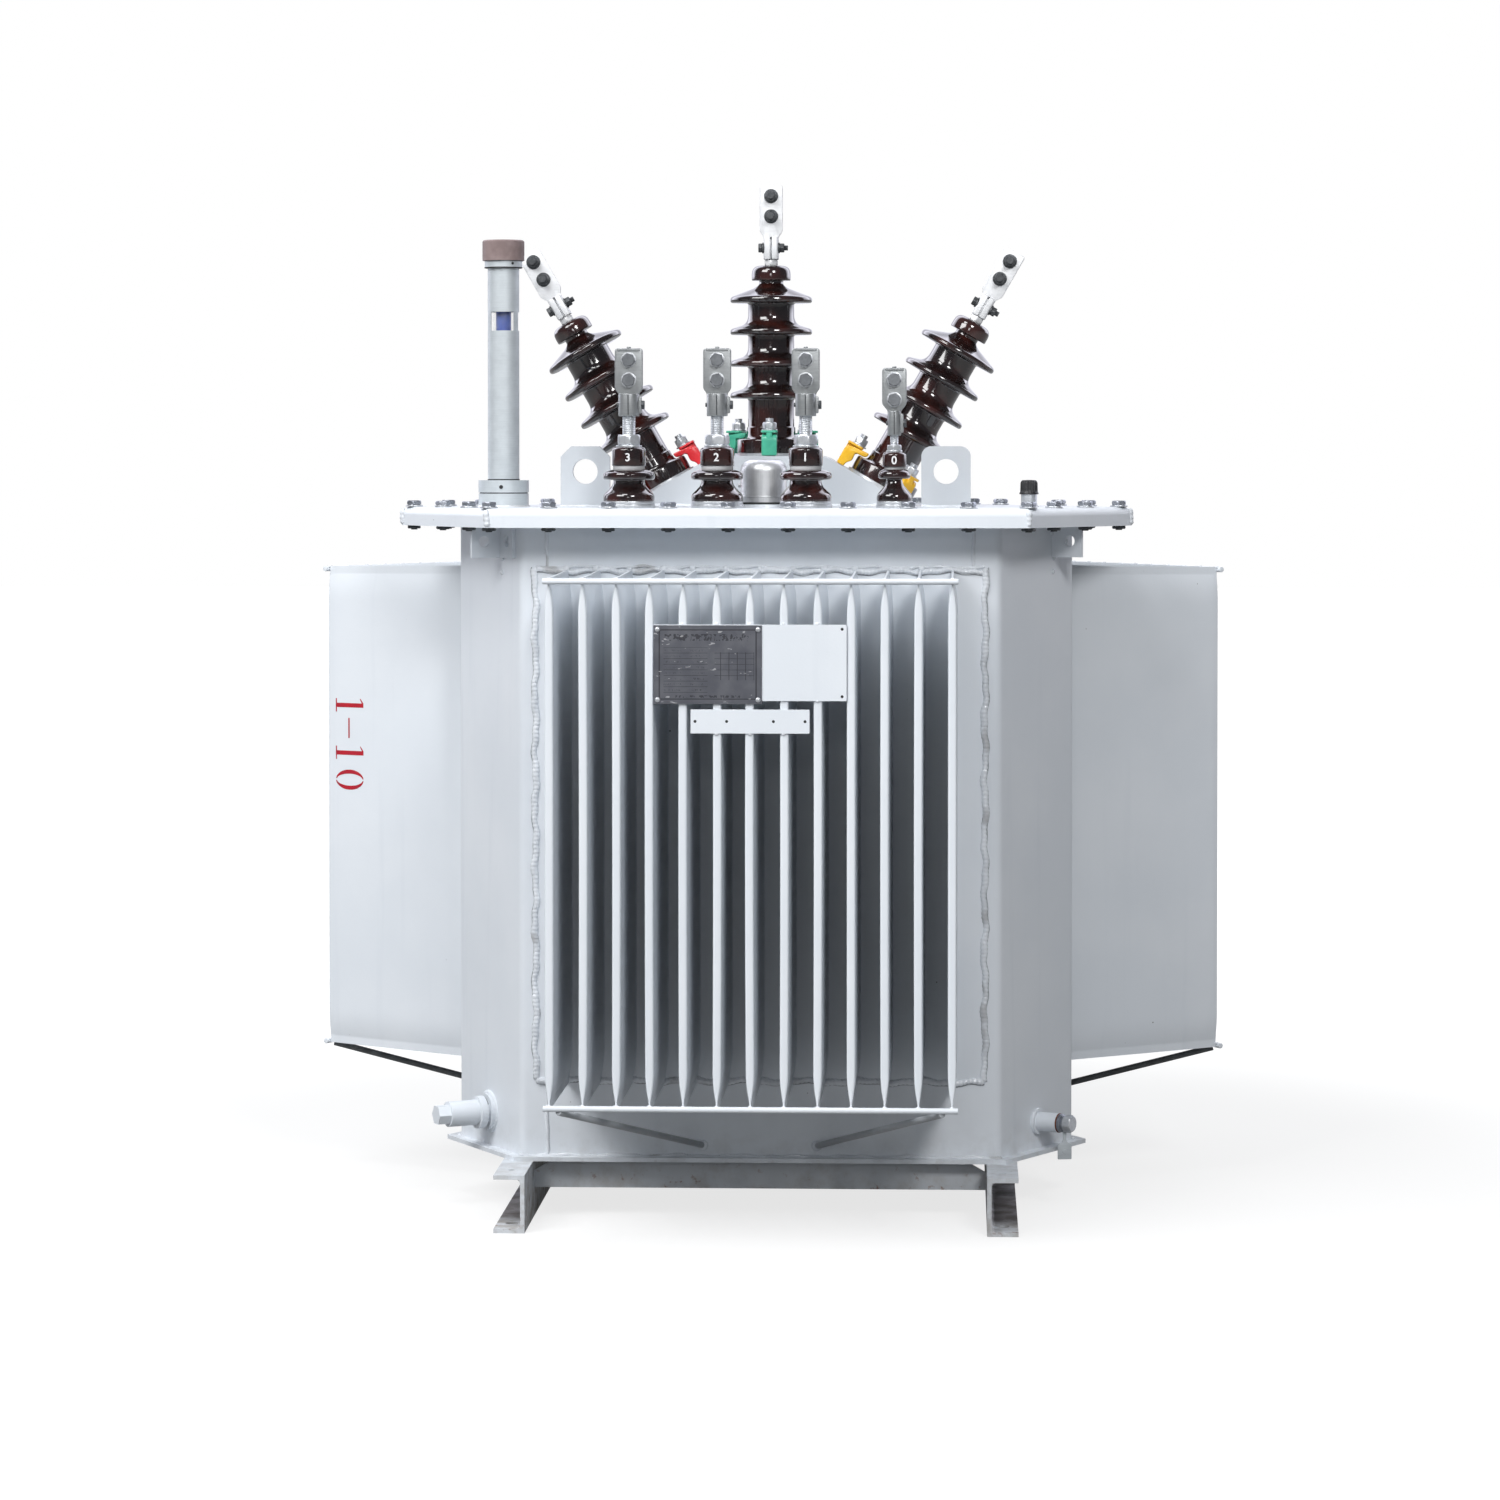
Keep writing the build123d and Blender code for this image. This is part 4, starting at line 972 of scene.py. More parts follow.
def high_voltage_profile():
    """Corners (r, z, radius) from the collar's foot up to the cap's top."""
    corners = [
        (0.01, 4, 0), (51, 4, 1.5), (51, 25.5, 3.5), (36, 25.5, 7), (36, 42.5, 0.8),
        (CORE, 43.5, 0.8),
    ]
    for shed in range(SHEDS):
        b = FIRST + shed * STEP
        corners += [(CORE, b, 2.5), (SHED, b + 0.5, 4.2), (SHED, b + 8.8, 4.2)]
        if shed < SHEDS - 1:
            corners += [(39, b + 15.8, 6), (CORE, b + 25, 5)]
    b = LAST_SHED
    corners += [
        (24, b + 23, 5), (18, b + 28, 2.5), (18, b + 33.6, 1.5), (29, b + 33.6, 2),
        (29, HV_TOP, 13), (0.01, HV_TOP, 0),
    ]
    return corners


slope_level = turret_top - (FAN_X - FAN_EDGE) * np.tan(radians(FAN_LEAN))
hv_places = {
    "left": at(-FAN_X, FAN_Y, slope_level) @ turn(-FAN_LEAN, "Y"),
    "middle": at(0, FAN_Y, turret_top),
    "right": at(FAN_X, FAN_Y, slope_level) @ turn(FAN_LEAN, "Y"),
}
hv_body = turned(rounded(high_voltage_profile()), 128)
for name, place in hv_places.items():
    build(f"hv_porcelain_{name}", [moved(hv_body, place)], "porcelain", [f"hv_bushing_{name}"])
print("bushing height", round(HV_TOP, 1))

# %% [markdown]
# ## Claws
#
# Three cast claws hook over each collar and are drawn down by a stud. A claw is
# three slabs: the hooked body, seen from the side; the rim plate under the nut; and
# a narrow rib that carries the plate, which leaves the two hollows below it. The
# washers, the nut and the stud end are separate plated parts.

# %% Claws
claw_side = rounded([
    (73.6, 0.3, 2.6), (73.9, 26, 3.2), (70, 31.5, 3), (51, 33.8, 5), (37.4, 34.6, 2.8),
    (38.6, 28, 2.8), (44.5, 26.1, 2), (56, 26.1, 3), (55.2, 13, 3), (61.5, 6, 3), (62, 0.3, 2),
])
rib_side = rounded([(73.4, 20, 1), (73.4, 36, 1), (50, 36, 1), (50, 28, 1), (60, 20, 1)])
claw = [
    moved(slab(claw_side, 22.5, 1.6), turn(90, "X")),
    moved(slab(rib_side, 9, 1.5), turn(90, "X")),
    moved(slab(box_outline(25.5, 24.5, 5), 3.4), at(61.4, 0, 36.1)),
]
claw_sets = {
    "left": ("claw_red", (0, 120, 240)), "middle": ("claw_green", (-90, 30, 150)),
    "right": ("claw_yellow", (180, 300, 60)),
}
fittings = []
for name, place in hv_places.items():
    colour, angles = claw_sets[name]
    parts = []
    for angle in angles:
        spot = place @ turn(angle)
        parts += all_moved(claw, spot)
        stud = spot @ at(57.2, 0, 37.6)
        fittings += [
            moved(disc(11.5, 2.2), stud), moved(nut(18, 10), stud @ at(0, 0, 2.2) @ turn(angle * 0.7)),
            moved(thread(5.9, 7, 1.75, 0.6, 24), stud @ at(0, 0, 11)),
        ]
    build(f"claws_{name}", parts, colour, [f"hv_claws_{name}"])
build("claw_fittings", fittings, "zinc")

# %% [markdown]
# ## High-voltage terminals
#
# Each stud ends in a cast clamp that closes round it with one cross bolt, and
# flattens into a pad for the line's lug. The pad with its flared foot is one slab,
# and the clamp is a second one, drawn from above with the slit between its jaws.

# %% High-voltage terminals
hv_pad = rounded([
    (-11, -14, 1), (11, -14, 1), (11, 0, 2), (17, 9, 3), (17, 77, 4), (-17, 77, 4), (-17, 9, 3),
    (-11, 0, 2),
])
hv_jaws = rounded([
    (-11, -11, 4), (-1.4, -12, 0.6), (-1.4, -5, 0.4), (1.4, -5, 0.4), (1.4, -12, 0.6), (11, -11, 4),
    (11, 11, 4), (-11, 11, 4),
])
JAWS, PAD = 9, 9 + 33
hv_terminal = [
    nut(19, JAWS), moved(slab(hv_jaws, PAD - JAWS, 1.2), at(0, 0, (JAWS + PAD) / 2)),
    moved(slab(hv_pad, 6), at(0, 0, PAD) @ turn(90, "X")),
]
hv_bolts = []
for level in (PAD + 31, PAD + 61):
    front = at(0, -3, level) @ turn(90, "X")
    hv_bolts += all_moved(bolt_head(15, 8, 10.5), front)
    hv_bolts.append(moved(thread(4.8, 14, 1.5, 0.6, 20), front @ at(0, 0, 10)))
    hv_bolts += all_moved(bolt_head(15, 6.5, 10.5), at(0, 3, level) @ turn(-90, "X"))
cross = at(0, -5, JAWS + 17)
hv_bolts += all_moved(bolt_head(13, 5.5, 8), cross @ at(-11, 0, 0) @ turn(-90, "Y"))
hv_bolts += all_moved(bolt_head(13, 6.5, 8), cross @ at(11, 0, 0) @ turn(90, "Y"))
hv_bolts.append(moved(thread(4, 6, 1.25, 0.5, 20), cross @ at(19, 0, 0) @ turn(90, "Y")))
for name, place in hv_places.items():
    top = place @ at(0, 0, HV_TOP)
    build(f"hv_clamp_{name}", all_moved(hv_terminal, top), "terminal_alloy", [f"hv_terminal_{name}"],
          "white_alloy")
    build(f"hv_bolts_{name}", all_moved(hv_bolts, top), "zinc", finish="dark_steel")

# %% [markdown]
# ## Low-voltage bushings
#
# Three large bushings carry the phases and a small one the neutral. They are lathe
# parts again, and one function draws both kinds from their measured sizes: a bell
# on a clamping ring, a neck, one broad shed, a pale cement ring and a head.

# %% Low-voltage porcelain


def low_voltage_profile(base, waist, shed, collar, head, levels):
    """Corners (r, z, radius) of a bushing; levels are its heights above the ring."""
    bell, neck, rim, ring, top = levels
    middle = (neck + rim) / 2
    return [
        (0.01, 9, 0), (base, 9, 1), (base, 18, 4), (waist, bell, 5), (waist - 1, neck, 2),
        (shed - 1, neck - 0.4, 3), (shed, middle - 1, 3), (shed - 1.5, middle + 3, 3),
        (collar + 3, rim, 2), (collar, rim, 0.5), (collar, ring, 0.3), (head, ring, 1),
        (head, top - 3, 1.5), (head - 3, top, 1.5), (0.01, top, 0),
    ]


# Cement and nut: radius or width, level and height. Pad: half its width.
lv_kinds = {
    "phase": dict(
        profile=low_voltage_profile(36.5, 23, 37, 21.5, 24, (31.5, 39.5, 53.5, 59, 85)),
        ring=37.5, cement=(22.5, 53.3, 5.9), stud=9.5, nut=(30.5, 85, 18), clamp=129,
        head=24, number_level=70.5, barrel=14.8, height=32, pad=19.75, rise=64,
    ),
    "neutral": dict(
        profile=low_voltage_profile(25, 12, 23, 13, 16.8, (33, 41, 54, 57.5, 78)),
        ring=26, cement=(14, 53.8, 3.9), stud=6, nut=(19, 78, 10.5), clamp=101.5,
        head=16.8, number_level=66.25, barrel=9.6, height=35, pad=17.25, rise=60.5,
    ),
}
lv_names = {"phase_1": "phase", "phase_2": "phase", "phase_3": "phase", "neutral": "neutral"}
rings, cements, studs = [], [], []
for name, kind_name in lv_names.items():
    kind = lv_kinds[kind_name]
    x, y, _ = foot(f"lv_bushing_{name}")
    place = at(x, y, cover_top)
    body = moved(turned(rounded(kind["profile"])), place)
    build(f"lv_porcelain_{name}", [body], "porcelain", [f"lv_bushing_{name}"])
    r = kind["ring"]
    rings.append(moved(disc(r, 4.6, 0.8, 72), place))
    rings.append(moved(disc(r - 1.2, 4.4, 0.8, 72), place @ at(0, 0, 4.6)))
    radius, level, height = kind["cement"]
    cements.append(moved(disc(radius, height, 0.8, 64), place @ at(0, 0, level)))
    across, level, height = kind["nut"]
    spot = place @ at(0, 0, level)
    studs += [
        moved(disc(across * 0.6, 3, 0.8), spot),
        moved(nut(across, height - 3), spot @ at(0, 0, 3) @ turn(7 * x)),
        moved(thread(kind["stud"], kind["clamp"] - level + 18), spot),
    ]
build("lv_ring_pairs", rings, "zinc", ["lv_rings"])
build("lv_cement", cements, "porcelain", finish="cement")
build("lv_stud_threads", studs, "zinc", ["lv_studs"])

# %% [markdown]
# ## Low-voltage terminals
#
# A barrel with a slit is drawn tight on the stud by one cross bolt, and flattens
# above into a flag for two cable lugs. The flag keeps a folded lip along its top
# edge from the casting.

# %% Low-voltage terminals


def low_voltage_clamp(w, r, h, rise):
    """Barrel of radius r and height h with a flag of half width w above, and its lip and ears."""
    flag = rounded([
        (-r + 1, -10, 1), (r - 1, -10, 1), (r, 0, 2), (w, w - r + 2, 3), (w, rise, 5), (-w, rise, 5),
        (-w, w - r + 2, 3), (-r, 0, 2),
    ])
    barrel = rounded([(0.01, 0, 0), (r, 0, 1.2), (r, h, 1.2), (0.01, h, 0)], 4)
    top, upright = at(0, 0, h), turn(90, "X")
    return [
        turned(barrel, 64), moved(slab(flag, 8, 1.2), top @ upright),
        moved(slab(box_outline(2 * w - 8, 4.5, 2), 9.6, 1.2), top @ at(0, 0, rise - 2.4) @ upright),
        moved(slab(box_outline(12, h - 8, 2.5), 9), at(r - 2.6, 0, h / 2) @ upright),
        moved(disc(3.2, 2.6, 1.4), top @ at(0, 0, rise - 0.4)),
    ]


side_bolts, flag_bolts, flag_washers = [], [], []
for name, kind_name in lv_names.items():
    kind = lv_kinds[kind_name]
    x, y, _ = foot(f"lv_bushing_{name}")
    place = at(x, y, cover_top + kind["clamp"])
    w, r, h, rise = kind["pad"], kind["barrel"], kind["height"], kind["rise"]
    clamp = all_moved(low_voltage_clamp(w, r, h, rise), place)
    build(f"lv_clamp_{name}", clamp, "terminal_alloy", [f"lv_terminal_{name}"])
    for drop in (16.5, 45):
        front = place @ at(0, -4, h + rise - drop) @ turn(90, "X")
        back = place @ at(0, 4, h + rise - drop) @ turn(-90, "X")
        flag_washers += [moved(disc(10.8, 1.6), front), moved(disc(10.8, 1.6), back)]
        flag_bolts += [
            moved(nut(17, 10), front @ at(0, 0, 1.6) @ turn(drop)), moved(nut(17, 8), back @ at(0, 0, 1.6)),
            moved(thread(5.5, 5, 1.75, 0.6, 24), back @ at(0, 0, 8)),
        ]
    # The slit is a thin dark slab on the barrel's front, which paints the shade in its gap.
    slit = slab(box_outline(1.6, h - 3, 0.6), 2, 0.3)
    side_bolts += [
        moved(nut(12, 4.4), place @ at(r + 3, 0, h / 2) @ turn(90, "Y")),
        moved(disc(3, 2.4), place @ at(-r + 0.4, 0, h / 2) @ turn(-90, "Y")),
        moved(slit, place @ at(0, -r + 0.8, h / 2) @ turn(90, "X")),
    ]
build("lv_side_bolts", side_bolts, "zinc", finish="dark_steel")
build("lv_bolts", flag_bolts, "zinc", finish="bolt_grey")
build("lv_washers", flag_washers, "zinc")

# %% [markdown]
# ## Numbers on the heads
#
# Each low-voltage head has a painted mark on its front. Plain numbers stand for
# them. Blender's text gives flat outlines, and numpy wraps them round the head: a
# point x along the line of text goes to the angle x / r.

# %% Painted numbers


def painted_number(text, height, radius, place):
    """Points of flat text wrapped on a cylinder: (r sin(x / r), -r cos(x / r), y)."""
    curve = bpy.data.curves.new("mark", "FONT")
    curve.body, curve.size, curve.align_x, curve.align_y = text, height, "CENTER", "CENTER"
    curve.resolution_u = 6
    curve.offset = 0.3
    stencil = bpy.data.objects.new("mark", curve)
    flat = bpy.data.meshes.new_from_object(stencil)
    bpy.data.objects.remove(stencil)
    points = np.zeros(len(flat.vertices) * 3)
    flat.vertices.foreach_get("co", points)
    x, y, _ = points.reshape(-1, 3).T
    wrapped = np.stack([radius * np.sin(x / radius), -radius * np.cos(x / radius), y], -1)
    faces = [np.array(polygon.vertices) for polygon in flat.polygons]
    bpy.data.meshes.remove(flat)
    return moved(flat_shape(wrapped, faces), place)


marks = []
for number, (name, kind_name) in zip("3210", lv_names.items()):
    kind = lv_kinds[kind_name]
    x, y, _ = foot(f"lv_bushing_{name}")
    spot = at(x, y, cover_top + kind["number_level"])
    marks.append(painted_number(number, 16, kind["head"] + 0.45, spot))
build("head_numbers", marks, "porcelain", finish="white_mark")

# %% [markdown]
# ## A stencilled number
#
# On the left panel's front fin a number is sprayed through a stencil, and reads
# downwards. Its strokes are flat shapes that lie a quarter of a millimetre above
# the fin, whose own half width gives their place, so that they follow its swell.

# %% Stencil


def arc_stroke(bulge, width, height, gap):
    """Half of a stencilled nought: the band between two half ellipses.

    The outer one has the half width bulge, and the inner one is narrower by width.
    """
    a = np.linspace(-1, 1, 17) * np.arccos(gap / height)
    outer = np.stack([bulge * np.cos(a), height / 2 * np.sin(a)], -1)
    inner = np.stack([(bulge - width) * np.cos(a), (height / 2 - 1.5) * np.sin(a)], -1)
    return np.concatenate([outer, inner[::-1]])


def on_left_fin(shape, along, across):
    """Turn a stroke (u along the reading, v up the letters) to lie on the fin's face.

    Reading goes down and the letters' tops point at the tank, so z = along - u and
    the depth is d = across - v.
    """
    u, v = np.asarray(shape, float).T
    z, d = along - u, across - v
    x = fin_places[-1] + fin_half(z, d) + 0.25
    flat = np.stack([x, -FACE - d, z], -1)
    return moved(flat_shape(flat, [np.arange(len(flat))]), turn(SIDES["left"]))


one = [
    [(-3.2, 0), (3.2, 0), (3.2, 52), (-3.2, 52)], [(-10, 0), (10, 0), (10, 2), (-10, 2)],
    [(-10, 45), (-3.2, 49), (-3.2, 52), (-10, 46.5)],
]
nought = [arc_stroke(15, 6, 52, 6), arc_stroke(15, 6, 52, 6) * (-1, 1)]
dash = [[(-15, 23.5), (15, 23.5), (15, 26), (-15, 26)]]
strokes = []
for glyph, along, rise in ((one, 699, 0), (dash, 665, 0), (one, 628, 0), (nought, 588, 26)):
    for shape in glyph:
        fine = rounded([(*point, 0) for point in np.asarray(shape, float)], 2)
        strokes.append(on_left_fin(fine + (0, rise), along, 273.5))
build("stencil_number", strokes, "tank_paint", finish="stencil_red")

# %% [markdown]
# ## Details of the plates
#
# Four screws hold the rating plate, dark discs behind the holes of the two bare
# plates paint the shade in them, and dabs of weld tack their backs to the fins.

# %% Screws, hole shade discs and tacks
screw = turned(
    rounded([(0.01, 0, 0), (3.6, 0, 0.3), (3.4, 1.2, 0.8), (1.4, 2.2, 0.6), (0.01, 2.2, 0)], 4), 32
)
screws = [
    moved(screw, at(x, plate_low[1], z) @ turn(90, "X"))
    for x in (plate_low[0] + 5.2, plate_high[0] - 5.2) for z in (plate_low[2] + 5.5, plate_high[2] - 5.5)
]
build("plate_screws", screws, "zinc")

carrier_low, carrier_high = low("plate_carrier"), high("plate_carrier")
strip_low, strip_high = low("number_plate"), high("number_plate")
holes = [(carrier_high[0] - 6, z) for z in (carrier_low[2] + 6, carrier_high[2] - 6)]
holes += [(x, (strip_low[2] + strip_high[2]) / 2) for x in (-73.5, -31.3, 31.3, 73.5)]
# Black discs behind the holes paint the shade that the open holes show.
hole_shadow = disc(3.2, 0.6, 0.1, 24)
hole_shadows = [moved(hole_shadow, at(x, carrier_high[1] - 0.9, z) @ turn(90, "X")) for x, z in holes]
build("hole_plugs", hole_shadows, "black_rubber")

tacks = [(x, strip_low[2]) for x in (-45, 0, 45)] + [(x, carrier_low[2]) for x in (-90, 90)]
tacks += [(x, carrier_high[2]) for x in (-90, -45, 0, 45, 90)]
build("plate_tacks", [
    blob((x, carrier_high[1], z), random.uniform(2.4, 3.6), 2.2, turn(90, "X")) for x, z in tacks
], "tank_paint", finish="weld_paint")

# %% [markdown]
# ## Relief valve, breather and gauge
#
# The relief valve has a clamping ring and a small nozzle. The breather's cap is a
# lathe part with fine ribs for the fingers. On the gauge the dark lines where its
# parts meet are thin rubber rings, a set screw is a dark dot, and a dark disc paints
# the shade in the vent's hole.

# %% Small fittings on the cover


def ribbed_cap(profile, ribs):
    """Lathe part whose radius gains depth cos(ribs a), with its own depth at each level."""
    r, z, depth = np.asarray(profile, float).T[:, :, None]
    a = np.linspace(0, 2 * np.pi, ribs * 8, endpoint=False)
    return wound(r + depth * np.cos(ribs * a), z, ribs * 8)


x, y, _ = foot("relief_valve")
build("relief_collar", [
    moved(disc(34.9, 1.8, 0.8, 96), at(x, y, cover_top + 14.2)),
    moved(disc(3.2, 4.5, 1), at(x - 32, y, cover_top + 31) @ turn(-90, "Y")),
], "stainless")

cap = ribbed_cap([
    (0.01, 0, 0), (13.7, 0, 0), (13.8, 1.2, 0), (13.3, 2.8, 0), (12.4, 4, 0.25), (12.1, 6, 0.5),
    (11.8, 16, 0.5), (11.2, 18.4, 0.3), (9.8, 20.2, 0), (0.01, 20.7, 0),
], 22)
build("breather_ribs", [moved(cap, at(*foot("breather_cap")))], "cap_black", ["breather_cap"])

x, y, _ = foot("gauge_body")
gauge = at(x, y, cover_top)
seals = [(34.5, 1.7, 0.3, 18.9), (23.2, 1.6, 0.5, 38.2), (27.4, 1.6, 0.5, 343), (27.4, 1.6, 0.5, 353)]
gauge_parts = [
    moved(disc(radius, height, edge, 96), gauge @ at(0, 0, level)) for radius, height, edge, level in seals
]
gauge_parts += [
    moved(disc(2.0, 0.5, 0.1, 20), gauge @ at(0, 0, 349.5) @ turn(35) @ at(0, -27, 0) @ turn(90, "X")),
    # A dark disc on the collar paints the shade in the vent's hole.
    moved(disc(2.8, 1.2), gauge @ at(0, -36.2, 28.5) @ turn(90, "X")),
]
build("gauge_seals", gauge_parts, "black_rubber")

# %% [markdown]
# ## Drain and earth terminal
#
# Both stand square on the two front cut corners. The drain's socket is welded on, and
# a black ring in its groove paints the shade there. The earth terminal is a bolt with
# a stack of washers on a welded boss, where a small stamped tag hangs. Each part is
# made with its axis along z, and one matrix per terminal turns z to the corner's normal.

# %% Terminals on the corners
CORNER_DISTANCE, DRAIN_HEIGHT, EARTH_HEIGHT = 450, 134, 125


def on_corner(node, degrees, height):
    """Frame on a cut corner: z points away from the wall, which is at z = 0."""
    nearest = (low(node) + high(node)) / 2
    away = np.array([np.cos(radians(degrees)), np.sin(radians(degrees)), 0])
    wall_at = nearest - away * (nearest @ away - CORNER_DISTANCE)
    return at(wall_at[0], wall_at[1], height) @ turn(degrees) @ turn(90, "Y")


drain_at = on_corner("drain_stub", 210, DRAIN_HEIGHT)
earth_at = on_corner("earth_boss", -30, EARTH_HEIGHT)
build("corner_welds", [
    moved(ring_bead(26.5, 3.4, 5.0, 1), drain_at), moved(ring_bead(14.5, 3.6, 5.0, 2), earth_at),
    moved(ring_bead(17, 2.4, 4.0, 5), earth_at @ at(0, 0, 2)),
], "tank_paint")
# A black ring in the drain's groove paints the shade there.
build("drain_seal", [moved(disc(20.6, 2.6), drain_at @ at(0, 0, 8.6))], "black_rubber")

# %% [markdown]
# The washers of the earth terminal are listed from the boss outwards, each at its
# level along the bolt. The first one has rusted.

# %% Earth terminal
build("earth_rust", [moved(disc(13.9, 1.7, 0.4), earth_at @ at(0, 0, 35.9))], "zinc", finish="rust_red")
stack = [(13.4, 1.2, 0.4, 37.8), (12.6, 3.6, 0.8, 39), (11.0, 2.6, 0.6, 42.6)]
stack = [moved(disc(radius, height, edge), earth_at @ at(0, 0, z)) for radius, height, edge, z in stack]
build("earth_washers", stack, "zinc", ["earth_bolt"], "bolt_zinc")
build("earth_head", [moved(nut(22, 12.6), earth_at @ at(0, 0, 45.2) @ turn(12))], "zinc")
tag = rounded([
    (-2.6, -10, 1), (-2.3, -26, 3), (-10, -30, 2), (-10, -51, 1.5), (10, -51, 1.5), (10, -30, 2),
    (2.3, -26, 3), (2.6, -10, 1),
])
tag_at = earth_at @ at(0, 0, 44.6) @ turn(90) @ turn(-50, "Y")
tag_parts = [moved(slab(tag, 1.4, 0.4), tag_at), moved(disc(3.4, 2.2, 0.5), tag_at @ at(0, -40, -1.1))]
build("earth_tag", tag_parts, "zinc", finish="gauge_alloy")

# %% [markdown]
# ## The floor
#
# The photograph is cut out against white. So the floor is pale where it is near,
# keeps the object's soft shadow, and turns to plain white further off, where it
# would meet the backdrop. The white is an emission that only the camera, mirrors
# and glass see, so it adds no light to the object.

# %% Floor
floor_mesh = bpy.data.meshes.new("floor")
floor_mesh.from_pydata([(-30, -30, 0), (30, -30, 0), (30, 30, 0), (-30, 30, 0)], [], [(0, 1, 2, 3)])
floor = bpy.data.objects.new("floor", floor_mesh)
bpy.context.scene.collection.objects.link(floor)
ground = Finish("studio_floor", roughness=0.9, specular_ior_level=0.0)
ground.shader.inputs["Base Color"].default_value = (0.24, 0.24, 0.24, 1)
ground.shader.inputs["Emission Color"].default_value = (1, 1, 1, 1)
seen = ground.node("ShaderNodeLightPath", {}, {}, "Is Camera Ray")
rays = seen.socket.node.outputs
glossy, passing = Value(ground, rays["Is Glossy Ray"]), Value(ground, rays["Is Transmission Ray"])
distance = ground.node("ShaderNodeVectorMath", {"operation": "LENGTH"}, {0: ground.place}, "Value")
whiteness = 0.77 + 0.29 * distance.rise(1.0, 2.4)
ground.feed("Emission Strength", whiteness * (seen + passing + 0.2 * glossy))
floor_mesh.materials.append(ground.material)
print("floor", ground.material.name)

# %% [markdown]
# ## The room
#
# The world plays three parts. The camera sees plain white. The object gets an even,
# slightly blue fill, stronger from above and weaker from the right. And mirrors see
# the studio: a dim room in front with a bright strip to either side, and a pale
# backdrop behind the object, which is why the glaze is dark in front and has narrow
# bright edges. Three Background nodes and two Mix Shaders keep the parts apart.

# %% World
world = bpy.context.scene.world or bpy.data.worlds.new("studio")
bpy.context.scene.world = world
world.use_nodes = True
sky = world.node_tree
sky.nodes.clear()


def sky_node(kind, settings=(), **sockets):
    """Add a world node, then set its inputs or link them; spaces are written as _."""
    made = sky.nodes.new(kind)
    for key, value in dict(settings).items():
        setattr(made, key, value)
    for key, value in sockets.items():
        socket = made.inputs[int(key[1:]) if key[0] == "i" else key.replace("_", " ")]
        if isinstance(value, bpy.types.NodeSocket):
            sky.links.new(value, socket)
        else:
            socket.default_value = value
    return made


def ramp(value, first, last, start=0.0, end=1.0):
    """Smooth step from start to end as the value goes from first to last."""
    return sky_node(
        "ShaderNodeMapRange", {"interpolation_type": "SMOOTHSTEP"},
        Value=value, From_Min=first, From_Max=last, To_Min=start, To_Max=end,
    ).outputs[0]


def joined(operation, first, second):
    """One Math node on two world values."""
    return sky_node("ShaderNodeMath", {"operation": operation}, i0=first, i1=second).outputs[0]


path = sky_node("ShaderNodeLightPath").outputs
where = sky_node("ShaderNodeTexCoord").outputs["Generated"]
split = sky_node("ShaderNodeSeparateXYZ", i0=where).outputs
across, depth, height = split["X"], split["Y"], split["Z"]
backdrop = ramp(depth, 0.35, 0.80, 0.16, 1.0)
beside = joined("SUBTRACT", ramp(depth, 0.26, 0.38), ramp(depth, 0.70, 0.84))
strips = joined("MULTIPLY", beside, ramp(height, -0.03, 0.05, 0.0, 2.4))
mirrored = joined("ADD", backdrop, strips)
level = joined("MULTIPLY", ramp(height, 0.0, 0.85, 0.13, 0.85), ramp(across, -0.05, 0.8, 1.0, 0.08))
fill = sky_node("ShaderNodeBackground", Color=(0.93, 0.965, 1.02, 1), Strength=level)
room = sky_node("ShaderNodeBackground", Color=(0.94, 0.94, 1.06, 1), Strength=mirrored)
white = sky_node("ShaderNodeBackground", Color=(1, 1, 1, 1), Strength=1.0)
lit = sky_node("ShaderNodeMixShader", i0=path["Is Glossy Ray"], i1=fill.outputs[0], i2=room.outputs[0])
direct = joined("ADD", path["Is Camera Ray"], path["Is Transmission Ray"])
shown = sky_node("ShaderNodeMixShader", i0=direct, i1=lit.outputs[0], i2=white.outputs[0])
sky_node("ShaderNodeOutputWorld", i0=shown.outputs[0])
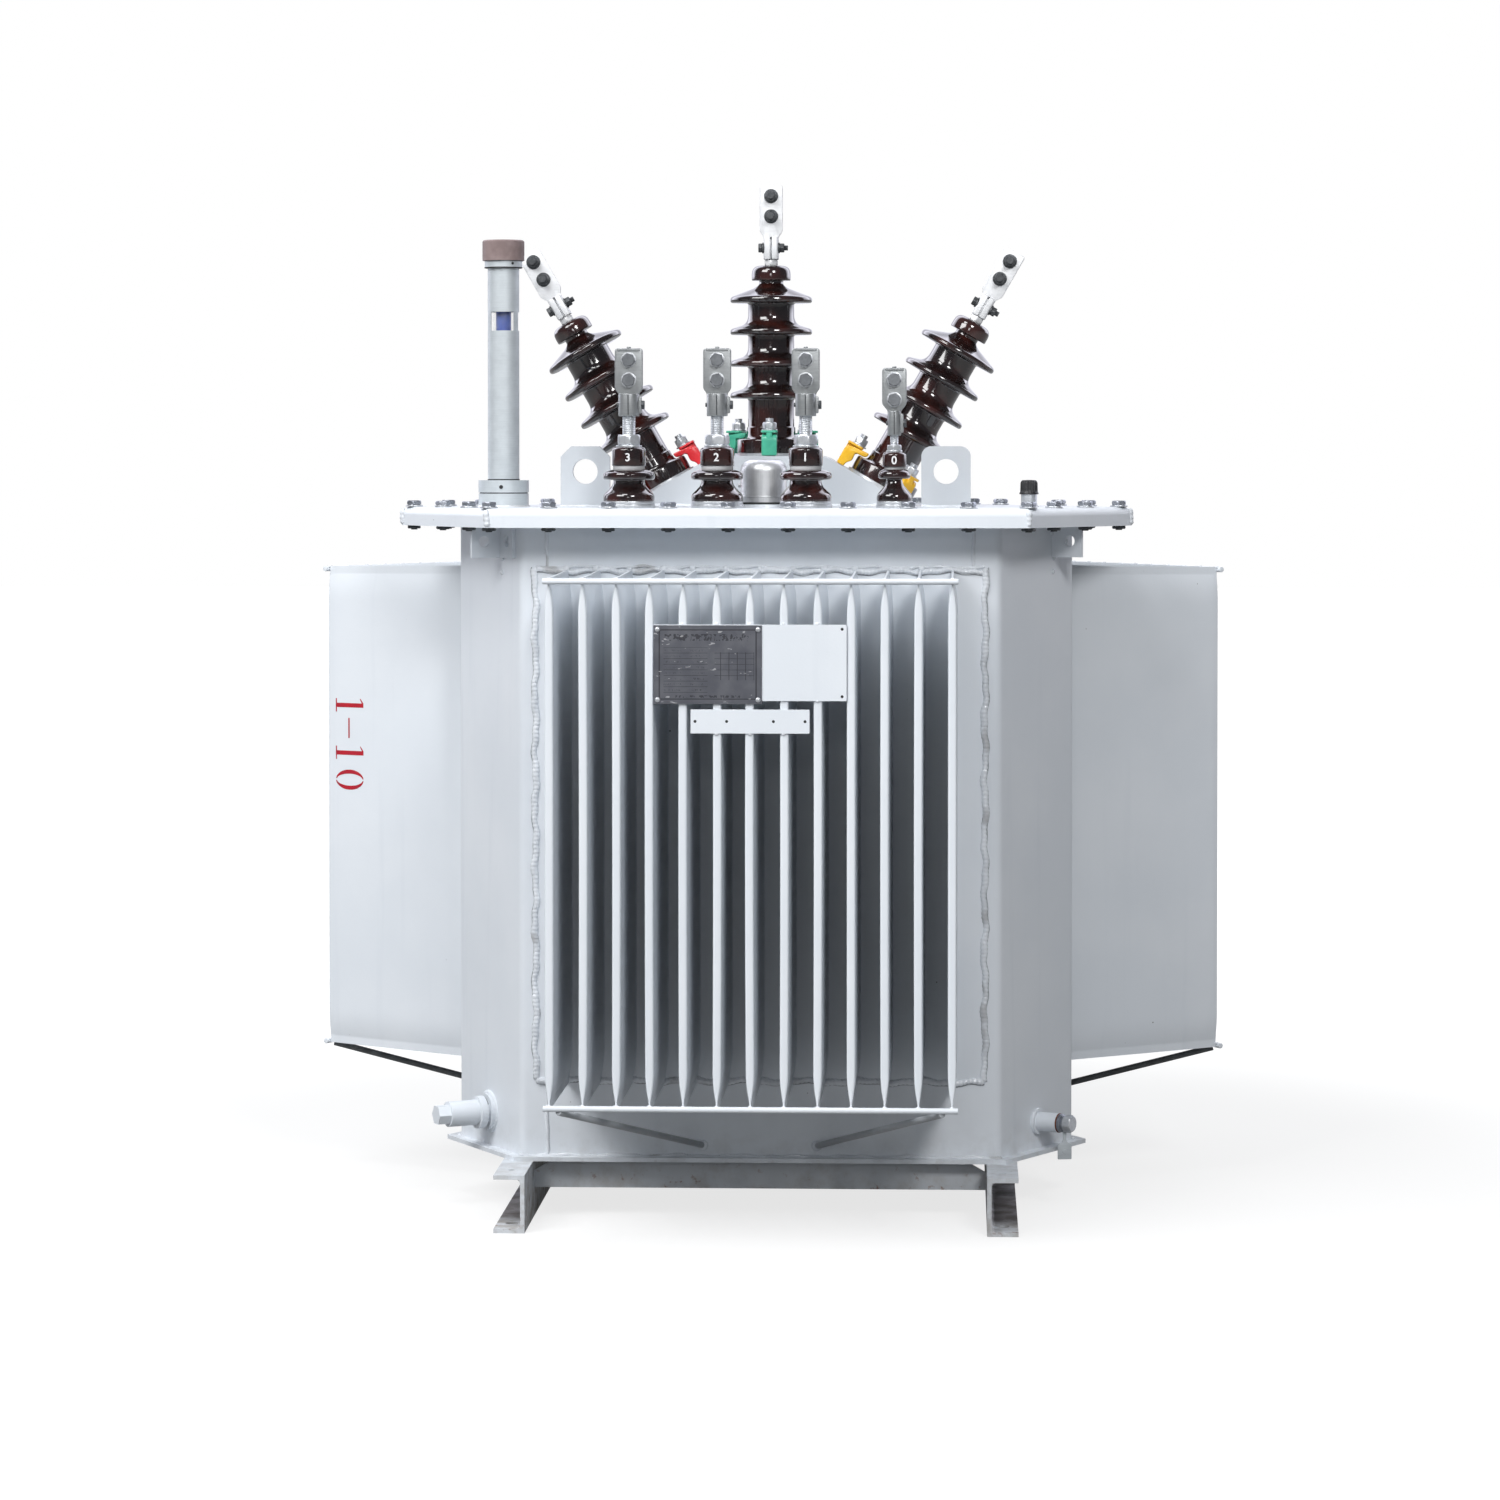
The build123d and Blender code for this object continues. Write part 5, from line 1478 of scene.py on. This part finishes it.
print("world", len(sky.nodes), "nodes")

# %% [markdown]
# ## The lamps
#
# The shadows and the streaks on the glaze tell of soft lamps: a wide bright one at
# the upper left, a weaker one right of the camera, and one overhead, which lights
# the upper ends of the gaps between the fins. A faint one near the camera fills in.
# Area lamps show in the glaze as the long streaks that real softboxes leave.

# %% Lamps


def softbox(name, place, aim, width, height, level):
    """Area lamp that would light a white card at aim to the given level on its own.

    A lamp of P watts lights a card at distance d with P / (pi d^2), and the card
    shows that over pi, so P = level pi^2 d^2.
    """
    lamp = bpy.data.lights.new(name, "AREA")
    lamp.shape, lamp.size, lamp.size_y = "RECTANGLE", width, height
    offset = Vector(aim) - Vector(place)
    lamp.energy = level * np.pi**2 * offset.length**2
    holder = bpy.data.objects.new(name, lamp)
    holder.matrix_world = at(*place) @ offset.to_track_quat("-Z", "Y").to_matrix().to_4x4()
    bpy.context.scene.collection.objects.link(holder)
    print(name, round(lamp.energy), "W")


softbox("key_lamp", (-2.9, -3.5, 4.0), (0, 0, 0.7), 2.8, 1.8, 0.50)
softbox("right_lamp", (1.75, -5.05, 3.7), (0, 0, 0.8), 1.2, 1.1, 0.34)
softbox("top_lamp", (-1.1, -2.3, 4.5), (0, -0.2, 0.8), 1.3, 0.9, 0.23)
softbox("camera_lamp", (-0.1, -7.2, 2.3), (0, 0, 0.6), 1.0, 0.8, 0.03)

# %% [markdown]
# ## The camera
#
# The uprights in the photograph hardly converge, so the camera looks almost level,
# and a shift sets the frame, as a view camera's rising front does.

# %% Camera
camera_data = bpy.data.cameras.new("camera")
camera_data.lens, camera_data.sensor_width = 105.6, 36.0
camera_data.shift_x, camera_data.shift_y = -0.013, -0.132
camera = bpy.data.objects.new("camera", camera_data)
camera.location = (0.2769, -6.4709, 1.0644)
camera.rotation_euler = (radians(90 - 1.2), 0, radians(2.45))
bpy.context.scene.collection.objects.link(camera)
bpy.context.scene.camera = camera
bpy.context.scene.view_settings.view_transform = "Standard"
print("camera at", tuple(round(v, 3) for v in camera.location))
